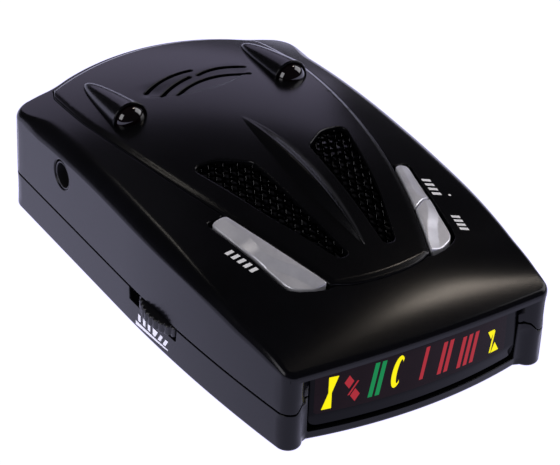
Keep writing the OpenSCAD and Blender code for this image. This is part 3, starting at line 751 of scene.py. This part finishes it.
def spine(rows=90, count=25):
    along = np.linspace(0, 1, rows)
    y = spine_back + (spine_front - spine_back) * along
    swell = np.sin(np.pi * along ** 0.9) ** 0.9
    width = 0.25 + 2.1 * swell
    height = 2.15 * np.sin(np.pi * along ** 1.15) ** 0.75
    across = np.linspace(-1, 1, count)
    lift = np.where(across < 0, 1 - np.abs(across) ** 1.15, (1 - np.abs(across)) ** 1.5)
    lift = np.where(np.abs(across) < 0.05, 0.95, lift)  # a small round on the crest
    points = []
    for yy, w, h in zip(y, width, height):
        xs = np.where(across < 0, across, across * 1.8) * w
        base = hood(xs, np.full(count, yy)) - 0.05
        points.append(np.stack([xs, np.full(count, yy), base + lift * h], 1))
    points = np.array(points)
    n = np.cross(np.gradient(points, axis=1), -np.gradient(points, axis=0))
    n /= np.linalg.norm(n, axis=2)[:, :, None] + 1e-12
    return (points.reshape(-1, 3), grid_faces(rows, count, closed=False, flip=True),
            n.reshape(-1, 3))


hood_parts.append(spine())

# %% Periscope housings
pod_x, pod_tail_y, pod_tail_z = 19.5, back_y - 11.4, roof_peak - 2.8
pod_r, pod_l, pod_tilt = 4.1, 20.0, math.radians(4)


def lathe(profile, origin, axis, beside, turns=64):
    """A turned surface: (distance along an axis, radius) pairs spun about it."""
    profile = np.array(profile, float)
    axis, beside = np.array(axis, float), np.array(beside, float)
    above = np.cross(axis, beside)
    a = 2 * np.pi * np.arange(turns) / turns
    ring = np.outer(np.cos(a), beside) + np.outer(np.sin(a), above)
    p = profile[:, :1, None] * axis + profile[:, 1:, None] * ring[None] + origin
    d = np.gradient(profile, axis=0)
    d /= np.linalg.norm(d, axis=1)[:, None] + 1e-12
    n = d[:, :1, None] * ring[None] - d[:, 1:, None] * axis
    return p.reshape(-1, 3), grid_faces(len(profile), turns), n.reshape(-1, 3)


pod_axis = (0, -math.cos(pod_tilt), math.sin(pod_tilt))
lip = 0.32
shell_line = [[pod_l * t ** 2, pod_r * t] for t in np.linspace(0.02, 0.985, 40)]
rim_line = [[pod_l - lip + lip * math.sin(a), pod_r - lip + lip * math.cos(a)]
            for a in np.linspace(0, math.pi, 12)]
bore_line = [[pod_l - lip - 0.3 * k, pod_r - 2 * lip] for k in range(1, 12)]
for side in (-1, 1):
    hood_parts.append(lathe(shell_line + rim_line + bore_line,
                            [side * pod_x, pod_tail_y, pod_tail_z], pod_axis, (1, 0, 0)))
hood_panel = shown(joined("hood_panel_skin", hood_parts), "root", "hood_panel")
print("hood", len(hood_panel.data.vertices), "points")

# %% Periscope lenses
dome_r = pod_r - 2 * lip - 0.03  # 0.03 mm clear of the bore
dome = [[pod_l - 1.2, dome_r], [pod_l - 0.6, dome_r]] + [
    [pod_l - 0.5 + 2.6 * math.sin(t), dome_r * math.cos(t)] for t in np.linspace(0.02, 1.565, 26)]
lenses = {}
for name, side in (("left", -1), ("right", 1)):
    piece = joined("periscope_lens_skin_" + name, [
        lathe(dome, [side * pod_x, pod_tail_y, pod_tail_z], pod_axis, (1, 0, 0), 96)])
    lenses[name] = shown(piece, "root", "periscope_lens_" + name)
    print(name, "lens", len(piece.data.vertices), "points")

# %% [markdown]
# ## Power socket
#
# The socket's barrel sits a little behind the hole in the wall, and its rim shows as a thin ring.
# A plain tube would have a sharp edge, so a profile with a half round at its front is turned.

# %% Socket collar
collar_line = [[0.2, 3.05]] + [[1.6 + 0.2 * math.sin(t), 2.85 + 0.2 * math.cos(t)]
                               for t in np.linspace(0, math.pi, 11)] + [
    [1.5 - 0.35 * k, 2.65] for k in range(1, 14)]
collar = shown(joined("socket_collar", [
    lathe(collar_line, [-half_w + 1.9, jack_y, jack_z], (-1, 0, 0), (0, -1, 0), 72)]), "root")
print("collar", len(collar.data.vertices), "points")

# %% [markdown]
# ## Buttons
#
# Each button is a silver cap that lies flush along the hood. A curved crease runs down it: the
# narrow strip beside the hood follows the roof, and the face outside the crease falls outward.
# The right-hand cap is split by a curved gap into two buttons. Modelling three caps by hand would
# make three slightly different creases. One height formula, cut by three outlines, keeps one.

# %% Button caps


def crease_x(y):
    """Where the level strip of a cap meets its falling face; it swings across the front end."""
    return hood_half(y) + 1.5 + 1.5 * smooth((-22 - y) / 5) * smooth((y + 34) / 6) \
        - 1.2 * smooth((-31 - y) / 7)


def cap(x, y):
    """Height of a cap's face."""
    past = np.abs(x) - crease_x(y)
    fall = 0.36 * np.where(past > 0, np.sqrt(past ** 2 + 0.01) - 0.1, 0)
    inner = 0.10 * (1 - smooth((np.abs(x) - hood_half(y) - button_gap) / 0.9))
    return roof(x, y) + button_rise - np.minimum(fall, 0.9) - inner


half_gap = 0.14


def clip_ring(ring, keep_above):
    """The part of the cap's outline on one side of the gap, closed along the gap's curve."""
    gap = np.array([[15.2, -28.15], [15.84, -27.9], [16.6, -27.5], [17.5, -26.9], [18.6, -26.3],
                    [19.8, -25.75], [21.2, -25.3], [22.6, -25.05]])
    gap_y = np.interp(ring[:, 0], gap[:, 0], gap[:, 1])
    shift = half_gap if keep_above else -half_gap
    side = ring[:, 1] > gap_y + shift if keep_above else ring[:, 1] < gap_y + shift
    kept = np.flatnonzero(side)
    breaks = np.flatnonzero(np.diff(kept) > 1)
    order = np.roll(kept, -(breaks[0] + 1)) if len(breaks) else kept
    part = ring[order]
    first, last = part[0], part[-1]
    xs = np.linspace(last[0], first[0], 16)[1:-1]
    seam = np.stack([xs, np.interp(xs, gap[:, 0], gap[:, 1]) + shift], 1)
    return densify(np.concatenate([part, seam]), 0.35)


button_rings = {"quiet": mirrored(button_ring), "menu": clip_ring(button_ring, True),
                "city": clip_ring(button_ring, False)}
buttons = {}
for name, ring in button_rings.items():
    piece = joined(name + "_cap", [skin(edge(ring, 0.28, 2.6), [], on_roof(cap), 0.33, 5)])
    buttons[name] = shown(piece, name, name + "_button")
    print(name, "cap", len(piece.data.vertices), "points")

# %% [markdown]
# ## Speaker mesh
#
# Under the two long openings lies a woven wire mesh. A bump pattern would look flat at the
# edges, so real wires are made: two families of thin tubes cross at an angle, each going over and
# under the next. They are cut off just under the hood's rim, above a dark cloth.

# %% Wires of the mesh
# Real mesh of this kind has a pitch of about 1 mm. It is drawn at 1.45 mm so that it shows.
wire_pitch = 1.45
wire_r = 0.24
mesh_depth = 1.05


def wires(ring):
    """All wires that lie inside an opening, with their ends just under its rim."""
    grown_ring = grown(ring, 0.35)
    low, high = grown_ring.min(0), grown_ring.max(0)
    middle = (low + high) / 2
    reach = np.linalg.norm(high - low) / 2 + 1
    parts = []
    for family, angle in enumerate((math.radians(62), math.radians(128))):
        along = np.array([math.cos(angle), math.sin(angle)])
        beside = np.array([-along[1], along[0]])
        t = np.arange(-reach, reach, wire_pitch / 5)
        for k in np.arange(-round(reach / wire_pitch), round(reach / wire_pitch) + 1):
            xy = middle + np.outer(t, along) + beside * k * wire_pitch
            ok = inside(xy, grown_ring)
            runs = np.split(np.arange(len(t)), np.flatnonzero(np.diff(ok.astype(int))) + 1)
            for run in runs:
                if ok[run[0]] and len(run) > 2:
                    p = xy[run]
                    wave = np.cos(np.pi * t[run] / wire_pitch + np.pi * (k + family))
                    z = hood(p[:, 0], p[:, 1]) - mesh_depth + 0.2 * wave
                    parts.append(tube(np.column_stack([p, z]), wire_r, beside))
    return parts


def tube(line, radius, beside, turns=7):
    a = 2 * np.pi * np.arange(turns) / turns
    n = np.concatenate([np.outer(np.cos(a), beside), np.sin(a)[:, None]], 1)
    p = line[:, None, :] + n[None] * radius
    rows = len(line)
    return p.reshape(-1, 3), grid_faces(rows, turns, flip=True), np.tile(n, (rows, 1))


def cloth(x, y):
    return hood(x, y) - mesh_depth - 0.5


meshes = {}
for name, ring in (("right", grille_ring), ("left", mirrored(grille_ring))):
    piece = joined("mesh_" + name, wires(ring) + [
        skin(edge(grown(ring, 0.5)), [], on_roof(cloth), 2.0)])
    meshes[name] = shown(piece, "root", "grille_" + name)
    print(name, "mesh", len(piece.data.vertices), "points")

# %% [markdown]
# ## Display window
#
# The window is one piece of smoked, polished plastic, bowed like the lip under it, with a crease
# near its lower edge. A brownish field is printed on it, and the warning symbols in the field are
# plain coloured shapes: bars, a crescent, an hourglass and diamonds. A pattern in the material
# would blur their edges. They are cut as thin sheets on the unrolled face and wrapped onto the
# bow, so their edges stay sharp and each colour can glow by itself.

# %% Window
window_x, window_low, window_high = 24.2, 2.45, 16.5
face_x = np.linspace(-25, 25, 101)
face_path = np.stack([face_x, lip_y(face_x) + 0.22], 1)
crease_z = 5.3


def face_shape(s, z):
    """The face leans back a little above the crease, and tucks in under it."""
    below = crease_z - z
    above = (z - crease_z) * (z > crease_z)
    return -0.13 * (below + np.sqrt(below ** 2 + 0.02)) / 2 - 0.018 * above


place_face, face_s = on_wall(face_path, face_shape)


def face_at(x):
    return float(np.interp(x, face_x, face_s))


window_ring = rounded(
    [[face_at(-window_x), window_low], [face_at(window_x), window_low],
     [face_at(window_x), window_high], [face_at(-window_x), window_high]],
    [2.6, 2.6, 0.5, 0.5], 0.5)
window = shown(joined("window_skin", [skin(edge(window_ring, 0.45, 1.6), [], place_face, 0.7, 5)]),
               "root", "display_window")
print("window", len(window.data.vertices), "points")

# %% Printed field


def raised(place, by):
    """The same surface, lifted a little along its normal, for a printed layer."""
    def lifted(uv):
        p, n, right, up, depth = place(uv)
        return p + n * by, n, right, up, depth
    return lifted


def on_face(points):
    """Points given across from the middle and up, as points of the unrolled face."""
    points = np.array(points, float)
    return np.stack([np.interp(points[:, 0], face_x, face_s), points[:, 1]], 1)


field_ring = rounded(on_face([[-23.1, 5.7], [21.0, 5.7], [21.0, 15.0], [-23.1, 15.0]]),
                     [0.5] * 4, 0.6)
field = shown(joined("printed_field", [skin(edge(field_ring), [], raised(place_face, 0.02), 0.8)]),
              "root")
print("field", len(field.data.vertices), "points")

# %% Shapes of the symbols
lean = 0.18  # how far a symbol leans to the right for each millimetre that it rises


def leaning(points, foot):
    return [[x + lean * (z - foot), z] for x, z in points]


def bars(x0, width, pitch, count, low, high):
    return [leaning([[x0 + k * pitch, low], [x0 + k * pitch + width, low],
                     [x0 + k * pitch + width, high], [x0 + k * pitch, high]], low)
            for k in range(count)]


def crescent(cx, cz, rx, rz):
    a = np.radians(np.linspace(48, 312, 30))
    outer = np.stack([cx + rx * np.cos(a), cz + rz * np.sin(a)], 1)
    inner = np.stack([cx + 0.35 + (rx - 0.75) * np.cos(a), cz + (rz - 0.9) * np.sin(a)], 1)[::-1]
    return [leaning(np.concatenate([outer, inner]).tolist(), cz)]


def diamond(cx, cz, rx, rz):
    return [[cx - rx, cz], [cx, cz - rz], [cx + rx, cz], [cx, cz + rz]]


def hourglass(x0, x1, low, high):
    cx, cz = (x0 + x1) / 2, (low + high) / 2
    return [leaning([[x0, low], [x1, low], [cx + 0.35, cz], [x1, high], [x0, high],
                     [cx - 0.35, cz]], cz)]


# %% Place the symbols
symbols = {
    "yellow": hourglass(-21.0, -19.0, 6.4, 13.5) + crescent(-5.9, 10.9, 1.25, 3.5)
    + [leaning([[17.0, 6.7], [17.45, 6.7], [17.45, 11.6], [17.0, 11.6]], 9),
       [[15.9, 11.9], [16.9, 9.9], [17.7, 11.9]], [[17.1, 6.6], [19.2, 6.6], [18.0, 8.8]]],
    "red": [diamond(-16.2, 11.5, 1.0, 1.5), diamond(-14.9, 8.3, 1.0, 1.5),
            leaning([[-16.2, 8.5], [-15.8, 8.5], [-14.4, 11.4], [-14.8, 11.4]], 10)]
    + bars(-0.9, 0.85, 1, 1, 7.3, 14.4) + bars(3.3, 0.95, 1.55, 2, 7.0, 14.0)
    + bars(8.1, 0.95, 1.6, 3, 6.6, 13.4),
    "green": bars(-12.2, 0.95, 1.5, 2, 6.8, 14.3)}
symbol_pieces = {}
for colour, shapes in symbols.items():
    sheets = []
    for shape in shapes:
        ring = densify(on_face(shape), 0.3)
        sheets.append(skin(edge(ring if area(ring) > 0 else ring[::-1]), [],
                           raised(place_face, 0.04), 0.5))
    symbol_pieces[colour] = shown(joined("symbols_" + colour, sheets), "root")
    print(colour, len(shapes), "shapes")

# %% [markdown]
# ## Thumbwheel and white marks
#
# The thumbwheel is a disc with rounded ribs for the thumb, of which only the rim shows through a
# slot in the side. Its ribs could be an array of small cylinders, but one ring with a rounded
# wave is a single clean mesh. Beside the buttons and under the wheel the case carries small white
# marks, which are pad-printed on the real thing. Here they are thin sheets that follow the
# surface: plain bars, a dot and a wedge, with no words.

# %% Thumbwheel
wheel_x = (wheel_low[0] + wheel_high[0]) / 2
wheel_r = (wheel_high[1] - wheel_low[1]) / 2


def ribbed_wheel(ribs=44, turns=528):
    a = 2 * np.pi * np.arange(turns) / turns
    wave = np.abs(np.sin(a * ribs / 2)) ** 0.8
    rim = wheel_r - 0.5 + 0.5 * wave
    low, high = wheel_low[2], wheel_high[2]
    rows = []
    for inset, z in ((rim - 2.0, low), (0.42, low), (0.2, low + 0.1), (0.05, low + 0.28),
                     (0.0, low + 0.5), (0.0, high - 0.5), (0.05, high - 0.28), (0.2, high - 0.1),
                     (0.42, high), (rim - 2.0, high)):
        r = rim - inset
        rows.append(np.stack([wheel_x + r * np.cos(a), wheel_y + r * np.sin(a),
                              np.full(turns, z)], 1))
    points = np.array(rows)
    du = np.roll(points, -1, 1) - np.roll(points, 1, 1)
    dv = np.gradient(points, axis=0)
    n = np.cross(du, dv)
    n /= np.linalg.norm(n, axis=2)[:, :, None] + 1e-12
    n[0], n[1] = (0, 0, -1), (0, 0, -1)
    n[-2], n[-1] = (0, 0, 1), (0, 0, 1)
    return points.reshape(-1, 3), grid_faces(len(rows), turns), n.reshape(-1, 3)


wheel = shown(joined("thumbwheel", [ribbed_wheel()]), "volume", "volume_wheel")
print("wheel", len(wheel.data.vertices), "points")

# %% White marks on the roof


def tick_row(x, y, heading, count, pitch=1.35, size=(0.55, 1.5)):
    """A row of short slanted bars that runs along a heading in degrees."""
    a = math.radians(heading)
    along, beside = np.array([math.cos(a), math.sin(a)]), np.array([-math.sin(a), math.cos(a)])
    rings = []
    for k in range(count):
        c = np.array([x, y]) + along * pitch * k
        half = along * size[0] / 2
        top = beside * size[1] + along * 0.35
        rings.append(densify(np.array([c - half, c + half, c + half + top, c - half + top]), 0.4))
    return rings


roof_marks = (tick_row(-25.0, -23.3, -75, 5, 1.6, (0.85, 1.6))
              + tick_row(23.2, -19.6, -97, 4, 1.5, (0.8, 1.9))
              + tick_row(22.2, -31.4, -97, 4, 1.2, (0.7, 1.8)) + [circle(26.1, -25.4, 0.28, 16)])
mark_sheets = [skin(edge(r), [], raised(on_roof(roof), 0.03), 0.6) for r in roof_marks]

# %% White wedge and scale under the thumbwheel


def lower_s_at(y):
    left = lower_path[:, 0] < 0
    index = np.flatnonzero(left)[np.abs(lower_path[left][:, 1] - y).argmin()]
    return float(lower_s[index])


def on_side(points):
    points = np.array(points, float)
    return np.stack([[lower_s_at(y) for y in points[:, 0]], points[:, 1]], 1)


side_marks = [on_side([[-5.9, 1.0], [-17.6, 1.8], [-17.6, 2.1], [-5.9, 1.9]])]
for k in range(6):
    y = -6.1 - 2.0 * k
    side_marks.append(on_side([[y, 2.4], [y - 1.1, 2.4], [y - 1.5, 4.0], [y - 0.4, 4.0]]))
for ring in side_marks:
    ring = densify(ring, 0.4)
    mark_sheets.append(skin(edge(ring if area(ring) > 0 else ring[::-1]), [],
                            raised(place_lower, 0.03), 0.6))
marks = shown(joined("white_marks", mark_sheets), "root")
print("marks", len(mark_sheets))

# %% [markdown]
# ## Finishes
#
# Every material here is built from nodes, so it has grain and small variation at a real size and
# can be repainted. One function adds a node, and one recipe covers moulded, cast and plated
# surfaces: two close shades in soft patches, a fine grain in the height, and a roughness that
# follows the grain. What differs between real materials is the numbers.

# %% Colour and node helpers


def linear(hex_colour):
    """An sRGB hex colour as linear values with full opacity."""
    c = np.array([int(hex_colour[i:i + 2], 16) for i in (1, 3, 5)]) / 255
    c = np.where(c <= 0.04045, c / 12.92, ((c + 0.055) / 1.055) ** 2.4)
    return (float(c[0]), float(c[1]), float(c[2]), 1.0)


def add(tree, kind, values=None, links=None, **settings):
    """One node: its settings, the values on its sockets and what is plugged into them."""
    node = tree.nodes.new(kind)
    for key, value in settings.items():
        setattr(node, key, value)
    for key, value in (values or {}).items():
        node.inputs[key].default_value = value
    for key, source in (links or {}).items():
        tree.links.new(source, node.inputs[key])
    return node


# %% The recipe


def finish(name, dark, light, roughness, spread=0.05, grain=0.4, depth=0.004, patch=8.0,
           stretch=(1, 1, 1), **shader):
    """grain, depth and patch are sizes in millimetres; shader sets the surface's own sockets."""
    material = bpy.data.materials.new(name)
    material.use_nodes = True
    tree = material.node_tree
    tree.nodes.clear()
    where = add(tree, "ShaderNodeTexCoord").outputs["Object"]
    scaled = add(tree, "ShaderNodeMapping", {"Scale": stretch}, {"Vector": where})
    patches = add(tree, "ShaderNodeTexNoise", {"Scale": 1 / (patch * MM), "Detail": 3.0},
                  {"Vector": scaled.outputs["Vector"]})
    grains = add(tree, "ShaderNodeTexNoise", {"Scale": 1 / (grain * MM), "Detail": 2.0},
                 {"Vector": scaled.outputs["Vector"]})
    shade = add(tree, "ShaderNodeValToRGB", links={"Fac": patches.outputs["Fac"]})
    shade.color_ramp.elements[0].position = 0.3
    shade.color_ramp.elements[0].color = linear(dark)
    shade.color_ramp.elements[1].position = 0.7
    shade.color_ramp.elements[1].color = linear(light)
    rough = add(tree, "ShaderNodeMapRange",
                {"To Min": roughness - spread, "To Max": roughness + spread},
                {"Value": grains.outputs["Fac"]})
    height = add(tree, "ShaderNodeBump", {"Strength": 1.0, "Distance": depth * MM},
                 {"Height": grains.outputs["Fac"]})
    surface = add(tree, "ShaderNodeBsdfPrincipled", shader,
                  {"Base Color": shade.outputs["Color"], "Roughness": rough.outputs["Result"],
                   "Normal": height.outputs["Normal"]})
    add(tree, "ShaderNodeOutputMaterial", links={"Surface": surface.outputs["BSDF"]})
    return material


def paint(material, *objects):
    for obj in objects:
        obj.data.materials.clear()
        obj.data.materials.append(material)


# %% [markdown]
# ### Plastics
#
# The case is ABS moulded in a lightly spark-eroded tool: nearly black, satin, with a grain that
# breaks up reflections. The window is polished acrylic, the wheel is a rubbery TPE, and the
# mesh is wire with a shiny black coat. A ready-made black would look the same on all of them, so
# each has its own roughness, grain and index of refraction.

# %% Moulded and polished plastics
# ABS has an IOR of 1.54. Its eroded grain traps part of the light that it would reflect, so the
# specular level is below the usual 0.5. The real grain is about 0.1 mm; it is drawn at 0.45 mm
# so that it shows.
matt = {"IOR": 1.54, "Specular IOR Level": 0.16}
case_abs = finish("abs_satin_case", "#070709", "#0a0a0d", 0.19, 0.04, 0.45, 0.004, 9.0, **matt)
hood_abs = finish("abs_satin_hood", "#060608", "#09090b", 0.20, 0.04, 0.45, 0.004, 9.0, **matt)
# Polished acrylic has a sharp reflection with a very slight waviness. An anti-glare coat keeps
# it faint.
acrylic = finish("acrylic_smoked", "#040406", "#070709", 0.07, 0.02, 5.0, 0.008, 12.0,
                 **{"IOR": 1.49, "Specular IOR Level": 0.06})
# The printed field is a translucent ink, so it looks a little browner and lighter.
ink_field = finish("ink_smoked_field", "#170b0d", "#1f1013", 0.2, 0.04, 0.6, 0.001, 6.0,
                   **{"IOR": 1.49, "Specular IOR Level": 0.06})
wheel_rubber = finish("tpe_black_wheel", "#0b0b0d", "#131317", 0.42, 0.08, 0.3, 0.008, 3.0,
                      IOR=1.5)
mesh_wire = finish("coated_wire_black", "#0d0d10", "#16161b", 0.16, 0.05, 0.3, 0.006, 2.0,
                   IOR=1.6)
# Polycarbonate is clear and hard. In the dark periscope the deep red lens looks almost black.
lens_red = finish("polycarbonate_deep_red", "#050103", "#0a0205", 0.05, 0.02, 2.0, 0.004, 3.0,
                  IOR=1.58)
paint(case_abs, upper_shell, lower_shell)
paint(hood_abs, hood_panel)
paint(acrylic, window)
paint(ink_field, field)
paint(wheel_rubber, wheel)
paint(mesh_wire, *meshes.values())
paint(lens_red, *lenses.values())
print("plastics painted")

# %% [markdown]
# ### Silver buttons, inks and lit symbols
#
# The button caps are ABS with a satin silver finish. A full metal would mirror the dark air and
# turn black, and a plain grey would have no gleam, so the finish lies halfway between them. The
# marks are a thin white ink. The symbols are coloured films lit from behind, so most of what
# they show is their own light.

# %% Silver, ink and lit films
satin_silver = finish("silver_satin_paint", "#cfcfd4", "#dedee2", 0.33, 0.06, 0.8, 0.003, 3.0,
                      Metallic=0.45)
white_ink = finish("ink_white_print", "#f4f4f4", "#ffffff", 0.5, 0.08, 0.4, 0.002, 1.5)
film_colours = {"yellow": ("#5a5200", "#fff200"), "red": ("#3a0c10", "#a92a34"),
                "green": ("#04301c", "#128549")}
for colour, piece in symbol_pieces.items():
    dark, light = film_colours[colour]
    film = finish("film_lit_" + colour, dark, dark, 0.3, 0.05, 0.5, 0.001, 2.0,
                  **{"Emission Color": linear(light), "Emission Strength": 0.95,
                     "Specular IOR Level": 0.05})
    paint(film, piece)
paint(satin_silver, *buttons.values())
paint(white_ink, marks)
print("films", sorted(symbol_pieces))

# %% [markdown]
# ### Pieces that keep the frame's shape
#
# The parts inside the case already have their right shape, so they only need their finish. They
# could be painted one by one, but each slot of the record names what a part is made of, so one
# table turns slots into finishes.

# %% Finishes by slot
inner = {
    "case_plastic": case_abs, "hood_plastic": hood_abs, "window_plastic": acrylic,
    "button_metal": satin_silver, "grille_black": mesh_wire, "wheel_rubber": wheel_rubber,
    "lens_plastic": lens_red,
    # moulded nylon and ABS of connectors, switches and the socket
    "black_part": finish("nylon_black", "#0a0a0b", "#141416", 0.45, 0.08, 0.3, 0.01, 3.0),
    "mask_plastic": finish("abs_white_mask", "#cfcfca", "#e2e2dc", 0.5, 0.06, 0.4, 0.006, 5.0),
    # zinc-plated steel: drawn and turned, with fine lines along it
    "steel": finish("steel_zinc_plated", "#8b8d90", "#a6a8ab", 0.32, 0.1, 0.15, 0.002, 2.0,
                    (1, 1, 0.1), Metallic=1.0),
    "shield_tin": finish("steel_tin_plated", "#9c9ea1", "#b8babd", 0.28, 0.08, 0.3, 0.003, 6.0,
                         Metallic=1.0),
    "horn_metal": finish("zinc_die_cast", "#7d7f83", "#98999d", 0.5, 0.12, 0.5, 0.03, 4.0,
                         Metallic=1.0),
    "board": finish("board_green_mask", "#0b3b20", "#14552f", 0.3, 0.08, 0.7, 0.02, 1.6),
    "ceramic_board": finish("laminate_white", "#c9c4b2", "#dcd8c8", 0.5, 0.08, 0.6, 0.01, 4.0),
    "cone_paper": finish("paper_pressed_cone", "#141416", "#242428", 0.85, 0.1, 0.35, 0.06, 1.5),
    "gasket_foam": finish("foam_black", "#121213", "#202022", 0.95, 0.05, 0.4, 0.12, 1.2),
    "led_red": finish("epoxy_red", "#7c0d14", "#a51820", 0.12, 0.04, 1.0, 0.002, 2.0, IOR=1.55),
    "led_white": finish("epoxy_diffused", "#d8d2b8", "#ece6cc", 0.35, 0.06, 0.5, 0.004, 1.5),
    "capacitor_can": finish("sleeve_blue", "#161c2c", "#222b42", 0.3, 0.06, 0.6, 0.004, 3.0),
}
slot_of = {part["node"]: part["material_slot"] for part in frame["record"]["subparts"]}
for node, obj in frame["nodes"].items():
    paint(inner[slot_of[node]], obj)
paint(inner["black_part"], collar)
print("frame parts painted", len(frame["nodes"]))

# %% [markdown]
# ## Stage, light and camera
#
# Black plastic shows almost only what it reflects, so the lights are placed by reflection. A
# glowing white table, a touch blue, lights the walls. The two keys low at the sides whiten the
# buttons. A narrow strip overhead draws the band along the brow, and another the crease on the
# left shoulder. The large light behind and the fills grade the hood and the flanks, and the air
# is dim, so the rest of the roof stays black.

# %% Floor
floor_mesh = bpy.data.meshes.new("table_top")
reach = 1.6
under = -0.0003  # a hair below the case, so that the two faces don't share a plane
floor_mesh.from_pydata([(-reach, -reach, under), (reach, -reach, under), (reach, reach, under),
                        (-reach, reach, under)], [], [(0, 1, 2, 3)])
floor = bpy.data.objects.new("table_top", floor_mesh)
bpy.context.scene.collection.objects.link(floor)
white_acrylic = finish("acrylic_white_table", "#1c1c1c", "#202020", 0.8, 0.05, 2.0, 0.0, 60.0,
                       **{"Emission Color": (1.0, 0.985, 1.35, 1), "Emission Strength": 1.02,
                          "Specular IOR Level": 0.0})
paint(white_acrylic, floor)
print("table", floor.dimensions[0], "m")

# %% Camera
camera = bpy.data.objects.new("camera", bpy.data.cameras.new("camera"))
bpy.context.scene.collection.objects.link(camera)
turn, lift, tilt = math.radians(33.87), math.radians(32.62), math.radians(3.06)
look_at, stand_off = Vector((-0.207, -4.386, 11.52)), 447.94
forward = Vector((math.sin(turn) * math.cos(lift), math.cos(turn) * math.cos(lift),
                  -math.sin(lift)))
level = Vector((math.cos(turn), -math.sin(turn), 0))
upward = level.cross(forward)
across = level * math.cos(tilt) + upward * math.sin(tilt)
upright = upward * math.cos(tilt) - level * math.sin(tilt)
spot = look_at * MM - forward * stand_off * MM
camera.matrix_world = Matrix((
    (across.x, upright.x, -forward.x, spot.x), (across.y, upright.y, -forward.y, spot.y),
    (across.z, upright.z, -forward.z, spot.z), (0, 0, 0, 1)))
camera.data.lens = 140.7
camera.data.clip_start = 0.01
bpy.context.scene.camera = camera
print("camera at", [round(c, 3) for c in camera.location])

# %% Lights


def softbox(name, toward, distance, width, height, power, colour, along=(0, 0, 1)):
    """A rectangular light that faces the object; its height runs along a direction."""
    light = bpy.data.lights.new(name, "AREA")
    light.shape = "RECTANGLE"
    light.size, light.size_y = width, height
    light.energy = power
    light.color = linear(colour)[:3]
    obj = bpy.data.objects.new(name, light)
    bpy.context.scene.collection.objects.link(obj)
    way = Vector(toward).normalized()
    up = (Vector(along) - way * way.dot(Vector(along))).normalized()
    right = up.cross(way)
    spot = way * distance
    obj.matrix_world = Matrix(((right.x, up.x, way.x, spot.x), (right.y, up.y, way.y, spot.y),
                               (right.z, up.z, way.z, spot.z), (0, 0, 0, 1)))
    return obj


softbox("left_key", (-0.85, -0.15, 0.5), 1.2, 0.7, 0.7, 6.5, "#fbf9ff")
softbox("right_key", (0.85, -0.15, 0.5), 1.2, 0.8, 0.8, 7.5, "#fbf9ff")
softbox("brow_light", (0.555, 0.06, 0.83), 0.9, 0.045, 0.16, 0.6, "#fff1e2", (0.10, 0.11, -0.08))
softbox("rear_light", (0.33, 0.87, 0.36), 1.3, 1.0, 0.52, 1.75, "#e0d8ff")
softbox("right_fill", (0.78, 0.61, 0.12), 1.3, 0.75, 0.32, 0.1, "#f1eeff")
softbox("left_fill", (-0.06, 0.64, 0.77), 1.2, 0.6, 0.42, 0.07, "#f1eeff")
softbox("shoulder_light", (-0.19, 0.58, 0.79), 1.2, 0.06, 0.24, 0.3, "#fff8ec",
        (-0.08, -0.20, 0.12))
world = bpy.data.worlds.new("studio")
bpy.context.scene.world = world
world.use_nodes = True
world.node_tree.nodes.clear()
air = add(world.node_tree, "ShaderNodeBackground",
          {"Color": linear("#f4f2fa"), "Strength": 0.035})
add(world.node_tree, "ShaderNodeOutputWorld", links={"Surface": air.outputs["Background"]})
bpy.context.scene.view_settings.view_transform = "Standard"
print("lights", len(bpy.data.lights))
